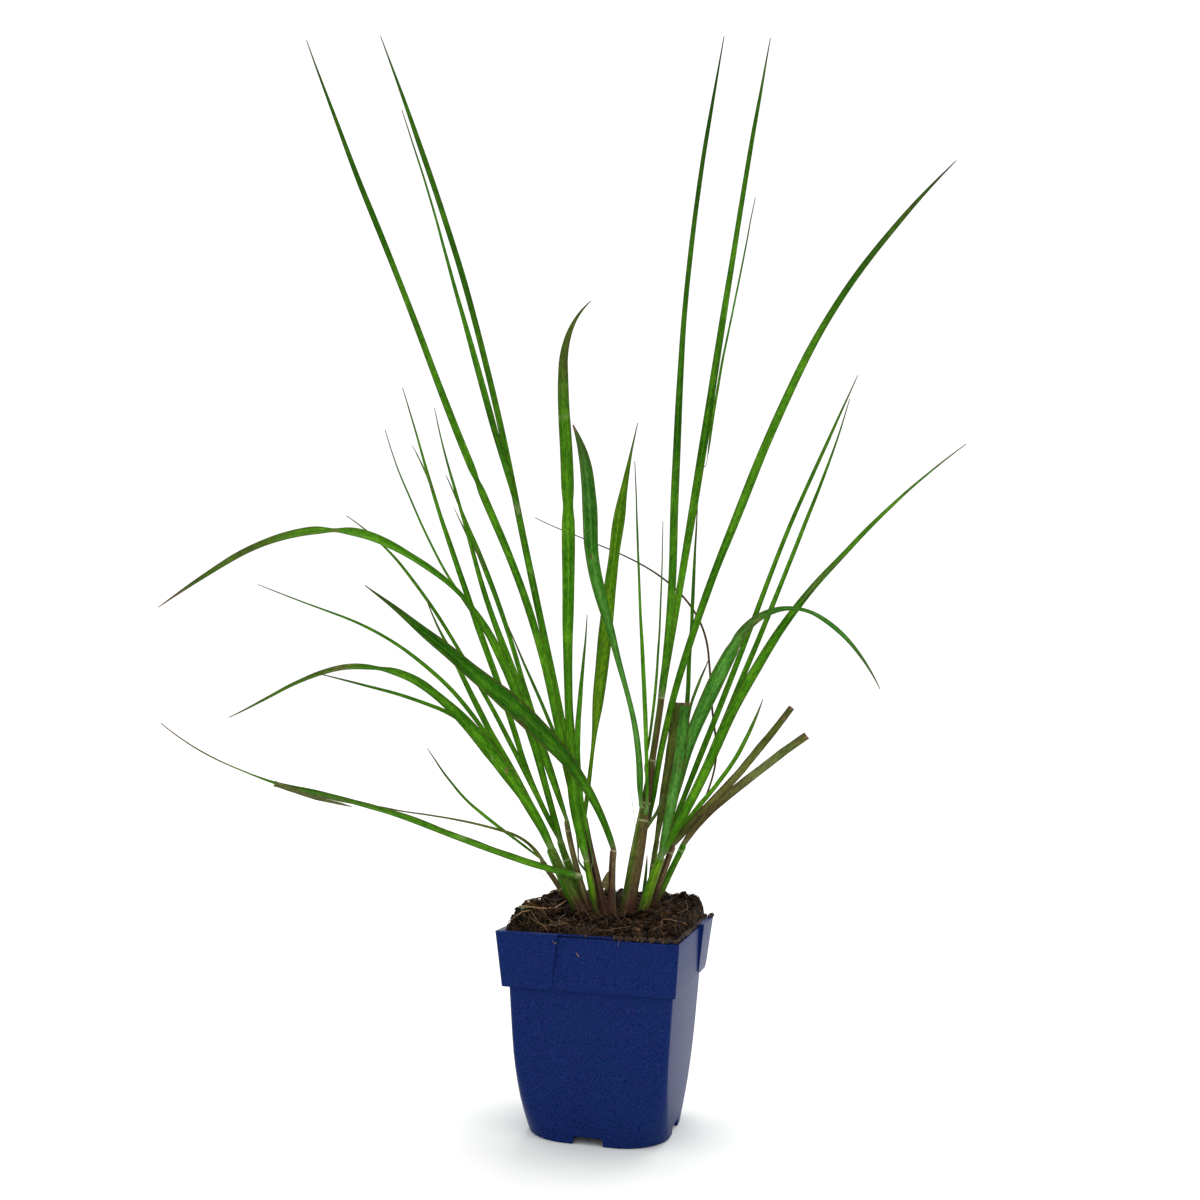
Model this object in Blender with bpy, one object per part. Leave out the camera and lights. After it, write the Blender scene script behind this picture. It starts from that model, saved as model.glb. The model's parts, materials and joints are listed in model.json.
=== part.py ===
"""Potted fountain grass: a clump of stems and long arching blades in a square nursery pot.

Lengths are in millimetres and angles in degrees until an object is made, and then in metres.
The pot stands on z = 0 around the z axis, with its front towards -Y.
"""

from collections import namedtuple

import bpy
import numpy as np

MM = 0.001
GAP = 0.3  # left between pieces that touch in life

# Pot
POT_HEIGHT = 122
RIM_HALF = 55.5  # half the width of the square rim, outside
COLLAR_HEIGHT = 32
COLLAR_TAPER = 2
COLLAR_CORNER = 2.5
BODY_TOP_HALF = 51
BODY_BEND_HALF = 46.2
BODY_BEND_HEIGHT = 22  # the body draws in a little faster below this height
BODY_BOTTOM_HALF = 44.2
BODY_CORNER = 5
BODY_BOTTOM_CORNER = 30
BODY_ROUNDING_HEIGHT = 60  # the corners widen their curve below this height
WALL = 1.7
FLOOR_UNDERSIDE = 5
FLOOR_TOP = 7.5
FOOT_WALL = 4
FOOT_ROUNDING = 0.8
NOTCH_WIDTH = 19
NOTCH_HEIGHT = 4.8
PANEL_PROUD = 2.6  # the two thicker panels that wrap the front left and back right corners
PANEL_TAPER = 3.8
PANEL_CORNER = 3
PANEL_TOP_REACH = 40
PANEL_BOTTOM_REACH = 36.5
FRONT_PANEL_BOTTOM = 90
BACK_PANEL_BOTTOM = 92
PANEL_ROUNDING = 4
CORNER_STEPS = 6

# Soil
SOIL_HEIGHT = 128.3  # at the pot's axis
SOIL_SLOPE = 0.15  # it rises towards the back
CLOD_CENTRE = (-51, -26)
CLOD_HEIGHT = 12
CLOD_REACH = (13, 27)
SOIL_EDGE = 121  # where the soil meets the wall
SOIL_SHOULDER = 1.4  # how far in from the wall it has come up most of the way
SOIL_RINGS = (1, 0.988, 0.97, 0.94, 0.88, 0.8, 0.66, 0.45, 0.22)

# Blades
BLADE_THICKNESS = 0.9
BLADE_FOLD = 0.16  # depth of the fold along the midrib, as a share of the width
STEM_SIDES = 8
CAMERA_SIDE = -75.5  # the heading that most blades turn their flat side to
ROOT_LIFT = 1.3  # a blade starts this far above the top of its stem

GREEN = (0.075, 0.170, 0.022)
DARK = (0.040, 0.110, 0.020)
YELLOW = (0.180, 0.300, 0.030)
OLIVE = (0.150, 0.170, 0.045)
BLUISH = (0.055, 0.150, 0.075)
BROWN = (0.110, 0.060, 0.035)
PURPLE = (0.090, 0.050, 0.055)
TAN = (0.230, 0.170, 0.075)
POT_BLUE = (0.012, 0.022, 0.155)
SOIL_BROWN = (0.035, 0.020, 0.012)

# A stem leans from the upright towards its heading, by the angles listed from its foot to its
# top. Its widths are listed the same way.
Stem = namedtuple("Stem", "name foot heading leans length widths colour")
# A blade grows from a stem or another blade, at a share of the way up it, on the side given
# and at a reach from its middle. Turn and tilt say which way the flat side looks, from the
# camera's side and from the level. Twist is how far it has turned by the tip.
Blade = namedtuple(
    "Blade", "name parent share side reach heading leans length widths turn tilt twist colour"
)

STEMS = [
    Stem("stem_left_outer", (-29.5, 13), 185, (39, 38, 37), 33,
         (4, 3.5, 3), TAN),
    Stem("stem_left_front", (-19.5, -2.5), 195, (30, 27, 25), 43,
         (8.5, 7.5, 6), GREEN),
    Stem("stem_left_back", (-20, 12.5), 170, (30, 26, 23), 44,
         (6, 5.5, 4.5), GREEN),
    Stem("stem_left_thin", (-13.5, 1), 190, (21, 17, 11), 59,
         (4.5, 3.5, 3.5), TAN),
    Stem("stem_centre_green", (-8, -2), 200, (13, 13, 14), 34,
         (4.5, 4.5, 4), YELLOW),
    Stem("stem_centre_brown", (-2, -3), 150, (23, 20, 16), 63,
         (5, 4.5, 3.5), PURPLE),
    Stem("stem_stub", (3, -4.5), 20, (-5, -1, 4), 41,
         (5, 4.5, 4), PURPLE),
    Stem("stem_main", (11, -1), 20, (10, 9, 8, 8, 7), 140,
         (9, 8.5, 8.5, 7.5, 6, 4.5, 4, 4, 4), OLIVE),
    Stem("stem_right_front", (20.5, 3), -10, (16, 19, 22), 38,
         (6.5, 6, 5), YELLOW),
    Stem("stem_right_back", (21, 24.5), 60, (0, 8, 16), 42,
         (4, 3.5, 3.5), OLIVE),
    Stem("stem_right_brown", (23.5, 15), 10, (18, 19, 20), 42,
         (4.5, 4, 4), PURPLE),
    Stem("stem_right_outer", (25, 27), 48, (27, 31, 34), 42,
         (4, 4, 4), GREEN),
]

BLADES = [
    Blade("blade_tall_far_left", "stem_centre_green", 1, 105, 2.2, 215,
          (15, 14, 27, 23, 25, 22), 555,
          (4, 5, 5, 5, 4, 3.5, 0.6), 15, 10, 40, GREEN),
    Blade("blade_tall_left", "stem_centre_green", 1, 105, 3.8, 165,
          (12, 16, 15, 19, 23, 24), 660,
          (3.5, 5, 5, 4.5, 4.5, 4, 0.7), -20, 10, -30, GREEN),
    Blade("blade_tall_left_side", "blade_tall_left", 0.375, -75, 1.6, 195,
          (18, 17, 17, 20), 305,
          (3, 4.5, 4.5, 3, 2, 1.5, 0.6), 10, 10, 20, DARK),
    Blade("blade_centre_broad", "stem_centre_green", 1, -75, 1, 40,
          (-18, -6, -3, -1, -2, -5, -2, 44), 378,
          (4.5, 8, 7, 5.5, 6.5, 8, 9, 9, 8.5, 7.5, 4.5, 0.7), 10, 5, 25, GREEN),
    Blade("blade_centre_bent", "stem_main", 0.5, 225, 4.2, 212,
          (-2, 8, 17, 18, 17, 2, 8, 27), 253,
          (4.5, 4.5, 4, 3.5, 4, 5.5, 8, 9, 10, 9.5, 7, 1), -15, 10, -10, BLUISH),
    Blade("blade_centre_back", "stem_centre_brown", 1, 105, 0, 55,
          (8, 6, 7, 6, 12, 14), 276,
          (3, 3, 3, 7.5, 9, 9.5, 8.5, 7.5, 8.5, 5, 2, 0.6), 10, 10, 10, YELLOW),
    Blade("blade_centre_short", "stem_centre_green", 1, 20, 4.2, 60,
          (-19, -15, 1, 7, 2), 160,
          (2, 2.5, 4, 3.5, 2, 0.5), 20, 5, 10, DARK),
    Blade("blade_centre_narrow", "stem_main", 0.5, -60, 3.9, 20,
          (-1, -4, -3, -4), 226,
          (2, 3, 3, 2, 1.5, 0.7), -20, 5, 20, GREEN),
    Blade("blade_centre_thin", "stem_main", 0.69, 180, 4.2, 60,
          (13, 3, 0), 164,
          (1.5, 2, 1.5, 1, 0.5), 10, 5, 10, GREEN),
    Blade("blade_tall_right", "stem_main", 1, -75, 1.2, 50,
          (8, 1, 2, 6, 10, 11), 480,
          (5, 5.5, 5.5, 4, 3.5, 3, 0.6), 15, 5, 30, DARK),
    Blade("blade_tall_far_right", "stem_main", 1, 90, 1.6, 60,
          (13, 12, 12, 14), 523,
          (3.5, 5, 6, 5, 4, 3.5, 0.7), -15, 5, -35, GREEN),
    Blade("blade_tall_right_side", "blade_tall_far_right", 0.31, 10, 4.4, 52,
          (8, 14, 13), 212,
          (1.5, 2, 1.5, 1.3, 0.6), 10, 5, 10, DARK),
    Blade("blade_right_sweeping", "stem_main", 0.43, 35, 5.4, 39,
          (6, 18, 23, 24, 32, 40, 44), 579,
          (4, 4.5, 5.5, 6.5, 6, 5, 4, 0.7), -15, 15, -20, GREEN),
    Blade("blade_right_high", "stem_right_front", 1, 105, 2.6, 50,
          (27, 27, 25, 30, 30), 399,
          (3, 4, 4, 3.5, 3, 2.5, 0.6), 10, 15, 20, GREEN),
    Blade("blade_right_middle", "stem_right_front", 1, 105, 1.2, 42,
          (32, 26, 25, 25, 19), 359,
          (2.5, 3.5, 4, 3.5, 3, 2, 0.6), -20, 15, -20, GREEN),
    Blade("blade_right_long", "stem_right_front", 1, -75, 0.3, 34,
          (32, 25, 34, 44, 48, 54), 382,
          (5, 6.5, 7, 6, 4.5, 3.5, 2, 0.7), 15, 25, 15, GREEN),
    Blade("blade_right_drooping", "stem_right_front", 1, -75, 1.7, -4,
          (8, 13, 16, 24, 25, 30, 74, 122, 142, 156), 266,
          (4, 5.5, 7.5, 8, 9.5, 10, 7.5, 5, 2.5, 3, 2, 0.5), -10, 15, -15, BLUISH),
    Blade("blade_cut_olive", "stem_right_back", 1, -75, 0, 40,
          (9, 9), 92,
          (3.5, 5.5, 6, 7), 10, 5, 20, OLIVE),
    Blade("blade_cut_dark", "stem_right_front", 1, -75, 3.2, -35,
          (13, 15, 10, 4), 99,
          (3, 6.5, 8, 8, 7.5), -5, 5, -10, BLUISH),
    Blade("blade_right_upright", "stem_right_front", 1, 105, 4.2, 70,
          (34, 12, 4, 4, 6), 243,
          (2, 3.5, 3.5, 3, 2.5, 0.7), 10, 5, -20, DARK),
    Blade("blade_right_sliver", "blade_right_upright", 0.33, 14, 3.3, 20,
          (-8, 20, 23), 55,
          (2, 2, 2, 0.6), -10, 10, 10, DARK),
    Blade("blade_right_short", "stem_right_brown", 1, 105, 0.9, 25,
          (30, 42, 30, 20), 115,
          (3.5, 3.5, 3, 3, 2.5, 0.5), 10, 20, 10, GREEN),
    Blade("blade_cut_upper", "stem_right_brown", 1, -75, 0.9, -10,
          (40, 45, 40, 37), 120,
          (4, 5, 5, 4), -10, 15, -10, OLIVE),
    Blade("blade_cut_lower", "stem_right_outer", 1, -75, 0.4, 18,
          (31, 50, 52, 55), 113,
          (4, 6, 6, 5.5), 10, 25, 10, OLIVE),
    Blade("blade_curling_thread", "stem_right_outer", 1, 105, 2.2, 200,
          (-24, -27, -12, 10, 3, 6, 30, 50, 63, 70, 71, 65), 294,
          (1, 1.5, 1.5, 1.5, 1, 0.6), 0, 10, 0, BROWN),
    Blade("blade_left_drooping", "stem_left_back", 1, -75, 2.6, 224,
          (19, 19, 24, 33, 57, 73, 106, 127, 131), 388,
          (4.5, 5, 6, 6.5, 4.5, 6.5, 7.5, 5.5, 4, 0.5), 10, 40, 10, GREEN),
    Blade("blade_left_high", "stem_left_back", 1, -75, 1.2, 197,
          (30, 28, 31, 33, 40, 58), 265,
          (3, 3.5, 3, 2.5, 2, 0.6), -10, 20, 10, GREEN),
    Blade("blade_left_inner", "stem_left_front", 1, 105, 2, 186,
          (25, 31, 33, 28, 30, 23), 185,
          (3.5, 3.5, 4, 4, 2.5, 0.6), 10, 20, -10, GREEN),
    Blade("blade_left_level", "stem_left_front", 1, 105, 0.6, 208,
          (29, 32, 40, 56, 72, 70), 261,
          (2.5, 3, 3, 2.5, 1.5, 0.5), -10, 30, 10, GREEN),
    Blade("blade_left_bent", "stem_stub", 1, -75, 0, 226,
          (21, 35, 49, 54, 56, 56, 58), 238,
          (4, 5, 7, 10, 12.5, 11.5, 9, 7, 3.5, 0.5), -10, 25, 15, DARK),
    Blade("blade_left_arched", "stem_left_front", 1, -75, 2.4, 212,
          (25, 36, 40, 44, 55, 82, 108, 122, 117), 261,
          (5, 7, 9.5, 10, 7, 6.5, 5.5, 4, 2.5, 0.7), 10, 35, -10, GREEN),
    Blade("blade_left_under", "stem_left_front", 1, -75, 0.9, 209,
          (34, 34, 38, 71, 77, 78), 199,
          (3, 3, 3, 3, 2, 0.5), 10, 30, 10, GREEN),
    Blade("blade_left_trailing", "stem_left_thin", 0.4, -75, 4, 217,
          (78, 72, 68, 74, 78, 67, 51), 277,
          (4.5, 6.5, 6.5, 6, 5, 4.5, 4, 1.5, 1.2, 0.5), 10, 50, 10, GREEN),
    Blade("blade_left_trailing_thin", "stem_left_outer", 1, -75, 0.8, 206,
          (32, 74, 79, 82, 82, 78, 72), 183,
          (2.5, 2.5, 2, 1.5, 1.5, 2, 2, 3), 10, 45, 0, OLIVE),
    Blade("blade_left_short", "stem_left_outer", 1, 105, 0.8, 172,
          (58, 60, 56, 44, 36), 117,
          (1.5, 2, 2.5, 2, 1.5, 0.6), -10, 40, 0, GREEN),
    Blade("blade_left_upright_thin", "stem_left_back", 1, 105, 1.4, 168,
          (18, 21, 27, 41, 33, 28, 21), 338,
          (2.5, 2.5, 2.5, 2, 1.5, 0.6), -10, 20, -10, GREEN),
    Blade("blade_left_upright", "stem_left_back", 1, 105, 0, 190,
          (33, 19, 22, 21, 18, 19), 333,
          (3.5, 4, 4.5, 4.5, 3.5, 2, 0.6), 10, 15, -10, GREEN),
    Blade("blade_left_back", "stem_left_thin", 1, -75, 0.9, 152,
          (30, 28, 32, 23, 26, 19), 338,
          (2.5, 4.5, 5, 4, 3, 2, 0.6), -10, 15, 10, GREEN),
    Blade("blade_left_back_thin", "stem_left_thin", 1, 105, 0.9, 142,
          (30, 33, 29, 36, 37, 40), 311,
          (2.5, 3.5, 3.5, 3.5, 4, 2.5, 0.6), 10, 15, 10, GREEN),
    Blade("blade_left_behind", "stem_centre_green", 1, -160, 5.2, 150,
          (4, 18, 33, 35, 33), 174,
          (2, 2.5, 2.5, 2, 0.6), 10, 15, 10, DARK),
    Blade("blade_young_shoot", "soil", 0, 25, 21, 14,
          (4, 6, 1), 36,
          (1.5, 2.5, 2, 0.6), 0, 0, 0, DARK),
]

# Strongly curved blades have more stations along them.
CURVED = (
    "blade_centre_broad",
    "blade_centre_bent",
    "blade_centre_back",
    "blade_right_drooping",
    "blade_left_drooping",
    "blade_curling_thread",
)


def heading_of(angle):
    """The level direction with this heading."""
    angle = np.radians(angle)
    return np.array([np.cos(angle), np.sin(angle), 0.0])


def along(values, count):
    """The listed values, spread evenly over this many stations."""
    return np.interp(np.linspace(0, 1, count), np.linspace(0, 1, len(values)), values)


def course(leans, length, count):
    """Stations of a shoot in its own x-z plane, and its direction at each."""
    steps = 12 * (count - 1)
    share = (np.arange(steps) + 0.5) / steps
    lean = np.radians(np.interp(share, np.linspace(0, 1, len(leans)), leans))
    out = np.concatenate([[0], np.cumsum(np.sin(lean))])[::12] * length / steps
    rise = np.concatenate([[0], np.cumsum(np.cos(lean))])[::12] * length / steps
    lean = np.radians(along(leans, count))
    points = np.stack([out, np.zeros(count), rise], axis=1)
    return points, np.stack([np.sin(lean), np.zeros(count), np.cos(lean)], axis=1)


def soil_height(x, y):
    """Height of the soil at a point of the pot."""
    across = (x - CLOD_CENTRE[0]) / CLOD_REACH[0]
    along_side = (y - CLOD_CENTRE[1]) / CLOD_REACH[1]
    return SOIL_HEIGHT + SOIL_SLOPE * y + CLOD_HEIGHT * np.exp(-(across**2) - along_side**2)


def stem_foot(stem):
    """Where a stem stands: high enough for the low side of its leaning end to clear the soil."""
    x, y = stem.foot
    low_side = stem.widths[0] / 2 * abs(np.sin(np.radians(stem.leans[0])))
    return np.array([x, y, soil_height(x, y) + low_side + 0.6])


def point_on(root, shoot, share):
    """The point at a share of the way up a shoot."""
    points, _ = course(shoot.leans, shoot.length, 61)
    out, _, rise = points[round(60 * share)]
    return root + out * heading_of(shoot.heading) + rise * np.array([0.0, 0.0, 1.0])


def all_roots():
    """Each shoot's root by name."""
    roots = {stem.name: stem_foot(stem) for stem in STEMS}
    shoots = {stem.name: stem for stem in STEMS}
    for blade in BLADES:
        offset = blade.reach * heading_of(blade.side)
        if blade.parent == "soil":
            root = offset + [0, 0, soil_height(offset[0], offset[1]) + 0.7]
        else:
            root = point_on(roots[blade.parent], shoots[blade.parent], blade.share) + offset
            root[2] += ROOT_LIFT if blade.share == 1 else 0
        roots[blade.name] = root
        shoots[blade.name] = blade
    return roots


def loft(sections):
    """Vertices and faces of a solid through these sections, all with the same number of points."""
    count, sides, _ = sections.shape
    faces = [
        (i * sides + j, i * sides + (j + 1) % sides, (i + 1) * sides + (j + 1) % sides)
        for i in range(count - 1)
        for j in range(sides)
    ]
    faces += [
        (i * sides + j, (i + 1) * sides + (j + 1) % sides, (i + 1) * sides + j)
        for i in range(count - 1)
        for j in range(sides)
    ]
    last = (count - 1) * sides
    faces.append(tuple(reversed(range(sides))))
    faces.append(tuple(range(last, last + sides)))
    return sections.reshape(-1, 3), faces


def stem_sections(stem):
    """Round sections square to the stem."""
    points, tangents = course(stem.leans, stem.length, 9 if len(stem.widths) > 3 else 5)
    across = np.cross([0.0, 1.0, 0.0], tangents)
    across /= np.linalg.norm(across, axis=1)[:, None]
    behind = np.cross(tangents, across)
    radius = along(stem.widths, len(points))[:, None] / 2
    turns = 2 * np.pi * np.arange(STEM_SIDES) / STEM_SIDES
    corners = [points + radius * (np.cos(t) * across + np.sin(t) * behind) for t in turns]
    return np.stack(corners, axis=1)


def blade_sections(blade):
    """Thin sections folded along the midrib, turned to face the camera's side."""
    if blade.name in CURVED:
        count = int(np.clip(round(blade.length / 22) + 2, 6, 26))
    else:
        count = int(np.clip(round(blade.length / 32) + 2, 4, 20))
    points, tangents = course(blade.leans, blade.length, count)
    look = heading_of(CAMERA_SIDE + blade.turn - blade.heading) * np.cos(np.radians(blade.tilt))
    look[2] = np.sin(np.radians(blade.tilt))
    flat = np.cross(tangents, look)
    flat /= np.linalg.norm(flat, axis=1)[:, None]
    twist = np.radians(blade.twist) * np.linspace(0, 1, count)[:, None]
    across = flat * np.cos(twist) + np.cross(flat, tangents) * np.sin(twist)
    front = np.cross(across, tangents)
    width = along(blade.widths, count)[:, None]
    thickness = np.minimum(BLADE_THICKNESS, 0.45 * width)
    fold = BLADE_FOLD * width
    left = points - across * width / 2 + front * fold / 2
    right = points + across * width / 2 + front * fold / 2
    upper = points + front * (thickness - fold) / 2
    lower = points - front * (thickness + fold) / 2
    return np.stack([left, upper, right, lower], axis=1)


def rounded_square(half, corner, height):
    """A ring of points around a square with rounded corners."""
    points = []
    for quarter in range(4):
        start = np.pi / 2 * quarter
        middle = (half - corner) * np.sqrt(2) * np.array(
            [np.cos(start + np.pi / 4), np.sin(start + np.pi / 4)]
        )
        for step in range(CORNER_STEPS + 1):
            turn = start + np.pi / 2 * step / CORNER_STEPS
            x, y = middle + corner * np.array([np.cos(turn), np.sin(turn)])
            points.append((x, y, height))
    return np.array(points)


def body_half(height):
    """Half the body's width."""
    heights = (0, BODY_BEND_HEIGHT, POT_HEIGHT - COLLAR_HEIGHT)
    return np.interp(height, heights, (BODY_BOTTOM_HALF, BODY_BEND_HALF, BODY_TOP_HALF))


def body_corner(height):
    """Radius of the body's corners, wide at the foot."""
    rise = max(0, 1 - height / BODY_ROUNDING_HEIGHT)
    return BODY_CORNER + (BODY_BOTTOM_CORNER - BODY_CORNER) * rise**2


def wall_rings(heights, inset):
    """Rings of the body's wall, moved in from its outside."""
    return [
        rounded_square(body_half(h) - inset, max(2, body_corner(h) - inset), h) for h in heights
    ]


def make_object(name, points, faces, place, turn, collection):
    """An object of this mesh, with its origin at the place and turned about the vertical."""
    mesh = bpy.data.meshes.new(name)
    mesh.from_pydata([tuple(p * MM) for p in points], [], faces)
    mesh.validate()
    made = bpy.data.objects.new(name, mesh)
    made.location = [v * MM for v in place]
    made.rotation_euler.z = np.radians(turn)
    collection.objects.link(made)
    return made


def paint(made, colour, roughness):
    """Gives the object its own plain material."""
    material = bpy.data.materials.new(made.name + "_colour")
    material.use_nodes = True
    shader = material.node_tree.nodes["Principled BSDF"]
    shader.inputs["Base Color"].default_value = (*colour, 1)
    shader.inputs["Roughness"].default_value = roughness
    shader.inputs["Metallic"].default_value = 0
    made.data.materials.append(material)


def shade_smooth(made):
    for face in made.data.polygons:
        face.use_smooth = True


def add_boolean(made, other, operation):
    modifier = made.modifiers.new(operation.title(), "BOOLEAN")
    modifier.operation = operation
    modifier.solver = "EXACT"
    modifier.object = other


def make_panel(name, corner, bottom, cutters):
    """A thicker panel that wraps one corner of the collar. Corner is (-1, -1) at the front left."""
    top = POT_HEIGHT - 0.4
    outside = RIM_HALF + PANEL_PROUD
    rings = np.stack(
        [
            rounded_square(BODY_TOP_HALF + 0.2, COLLAR_CORNER, bottom),
            rounded_square(outside - PANEL_TAPER, PANEL_CORNER, bottom),
            rounded_square(outside, PANEL_CORNER, top),
            rounded_square(RIM_HALF - 0.6, COLLAR_CORNER, top),
        ]
    )
    sides = rings.shape[1]
    faces = [
        (i * sides + j, i * sides + (j + 1) % sides, k * sides + (j + 1) % sides, k * sides + j)
        for i, k in ((0, 1), (1, 2), (2, 3), (3, 0))
        for j in range(sides)
    ]
    band = make_object(name, rings.reshape(-1, 3), faces, (0, 0, 0), 0, cutters)
    sections = []
    for share in (0, 0.12, 0.5, 1):
        inset = PANEL_ROUNDING * (1 - np.sqrt(1 - (1 - share) ** 2))
        sections.append((bottom - 0.1 + PANEL_ROUNDING * share, PANEL_BOTTOM_REACH - inset))
    sections.append((POT_HEIGHT + 4, PANEL_TOP_REACH))
    far = outside + 5
    blocks = []
    for height, reach in sections:
        near = outside - reach
        square = [(near, near), (far, near), (far, far), (near, far)]
        blocks.append([(corner[0] * x, corner[1] * y, height) for x, y in square])
    points, faces = loft(np.array(blocks))
    block = make_object(name + "_extent", points, faces, (0, 0, 0), 0, cutters)
    add_boolean(band, block, "INTERSECT")
    return band


def make_pot(collection, cutters):
    """The pot: a recessed foot, a body that narrows downwards, and a collar with two panels."""
    collar_foot = POT_HEIGHT - COLLAR_HEIGHT
    rings = [
        *wall_rings([FLOOR_UNDERSIDE, 0], FOOT_WALL),
        *wall_rings([0], FOOT_ROUNDING),
        *wall_rings([1.5, 5, 10, 15, BODY_BEND_HEIGHT, 30, 42, 60, collar_foot], 0),
        rounded_square(RIM_HALF - COLLAR_TAPER, COLLAR_CORNER, collar_foot + 0.6),
        rounded_square(RIM_HALF, COLLAR_CORNER, POT_HEIGHT),
        rounded_square(RIM_HALF - WALL, COLLAR_CORNER - WALL, POT_HEIGHT),
        *wall_rings([collar_foot, 60, 42, 30, BODY_BEND_HEIGHT, 15, FLOOR_TOP], WALL),
    ]
    points, faces = loft(np.array(rings))
    pot = make_object("pot", points, faces, (0, 0, 0), 0, collection)
    front_panel = make_panel("panel_front_left", (-1, -1), FRONT_PANEL_BOTTOM, cutters)
    back_panel = make_panel("panel_back_right", (1, 1), BACK_PANEL_BOTTOM, cutters)
    add_boolean(pot, front_panel, "UNION")
    add_boolean(pot, back_panel, "UNION")
    for name, size in (
        ("notches_front_back", (NOTCH_WIDTH, 120, 2 * NOTCH_HEIGHT)),
        ("notches_sides", (120, NOTCH_WIDTH, 2 * NOTCH_HEIGHT)),
    ):
        x, y, z = (v / 2 for v in size)
        square = [(-x, -y), (x, -y), (x, y), (-x, y)]
        box = np.array([[(a, b, h) for a, b in square] for h in (-z, z)])
        cutter = make_object(name, *loft(box), (0, 0, 0), 0, cutters)
        add_boolean(pot, cutter, "DIFFERENCE")
    paint(pot, POT_BLUE, 0.5)
    return pot


def make_soil(collection):
    """The soil: it fills the pot, stands above the rim at the back and has a clod on the left."""
    inset = WALL + GAP
    collar_foot = POT_HEIGHT - COLLAR_HEIGHT
    edge_half = np.interp(
        SOIL_EDGE, [collar_foot, POT_HEIGHT], [body_half(collar_foot) - inset, RIM_HALF - inset]
    )
    edge = rounded_square(edge_half, COLLAR_CORNER - WALL, SOIL_EDGE)
    heights = [FLOOR_TOP + GAP, 15, BODY_BEND_HEIGHT, 30, 42, 60, collar_foot]
    rings = wall_rings(heights, inset)
    for size in SOIL_RINGS:
        ring = edge * size
        share = 1 - np.exp(-edge_half * (1 - size) / SOIL_SHOULDER)
        ring[:, 2] = SOIL_EDGE + (soil_height(ring[:, 0], ring[:, 1]) - SOIL_EDGE) * share
        rings.append(ring)
    points, faces = loft(np.array(rings))
    middle = len(points)
    sides = len(edge)
    faces.pop()
    points = np.vstack([points, [0, 0, soil_height(0, 0)]])
    last = middle - sides
    faces += [(last + j, last + (j + 1) % sides, middle) for j in range(sides)]
    soil = make_object("soil", points, faces, (0, 0, 0), 0, collection)
    paint(soil, SOIL_BROWN, 0.95)
    return soil


def main():
    for old in list(bpy.data.objects):
        bpy.data.objects.remove(old)
    collection = bpy.data.collections.new("potted_fountain_grass")
    cutters = bpy.data.collections.new("cutters")
    for made in (collection, cutters):
        bpy.context.scene.collection.children.link(made)
    cutters.hide_render = True
    holder = bpy.data.objects.new("potted_fountain_grass", None)
    collection.objects.link(holder)

    pieces = [make_pot(collection, cutters), make_soil(collection)]
    roots = all_roots()
    for stem in STEMS:
        points, faces = loft(stem_sections(stem))
        made = make_object(stem.name, points, faces, roots[stem.name], stem.heading, collection)
        shade_smooth(made)
        paint(made, stem.colour, 0.5)
        pieces.append(made)
    for blade in BLADES:
        points, faces = loft(blade_sections(blade))
        made = make_object(blade.name, points, faces, roots[blade.name], blade.heading, collection)
        paint(made, blade.colour, 0.45)
        pieces.append(made)
    for piece in pieces:
        piece.parent = holder
    for cutter in cutters.objects:
        cutter.hide_render = True
        cutter.display_type = "WIRE"


main()
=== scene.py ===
import json
from collections import namedtuple

import bpy
import numpy as np
from mathutils import Matrix

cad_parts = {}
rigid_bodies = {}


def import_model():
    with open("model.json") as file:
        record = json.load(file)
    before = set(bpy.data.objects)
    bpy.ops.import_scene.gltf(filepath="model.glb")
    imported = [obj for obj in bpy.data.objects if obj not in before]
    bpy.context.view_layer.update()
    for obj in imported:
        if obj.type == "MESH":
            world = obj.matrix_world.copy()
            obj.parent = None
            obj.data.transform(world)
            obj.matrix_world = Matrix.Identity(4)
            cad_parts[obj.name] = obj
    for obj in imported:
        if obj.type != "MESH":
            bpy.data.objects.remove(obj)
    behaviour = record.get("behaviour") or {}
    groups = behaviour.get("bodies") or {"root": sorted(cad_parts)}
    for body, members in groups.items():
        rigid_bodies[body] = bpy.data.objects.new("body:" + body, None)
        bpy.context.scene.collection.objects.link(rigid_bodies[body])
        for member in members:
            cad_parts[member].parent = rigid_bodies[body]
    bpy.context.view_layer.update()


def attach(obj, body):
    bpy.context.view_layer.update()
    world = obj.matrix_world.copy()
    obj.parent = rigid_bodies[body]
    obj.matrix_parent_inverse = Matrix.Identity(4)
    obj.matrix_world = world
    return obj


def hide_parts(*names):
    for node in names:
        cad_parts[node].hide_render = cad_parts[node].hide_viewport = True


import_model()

# Potted fountain grass: stems and long arching blades in a square nursery pot. Lengths are in
# millimetres until a mesh is made, and then in metres. The pot's front looks towards -Y.

MM = 0.001

# Camera and light
CAMERA_AZIMUTH = 14.5
CAMERA_DISTANCE = 0.789
CAMERA_HEIGHT = 0.241
CAMERA_SIDESTEP = -0.011
CAMERA_PITCH = 6.56
CAMERA_ROLL = 1.31
CAMERA_LENS = 36
WORLD_STRENGTH = 1.1
KEY_STRENGTH = 1.0
KEY_SOFTNESS = 40
KEY_HEADING = (0.05, 0.45, 1.0)
FLOOR_HALF = 30.0

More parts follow.
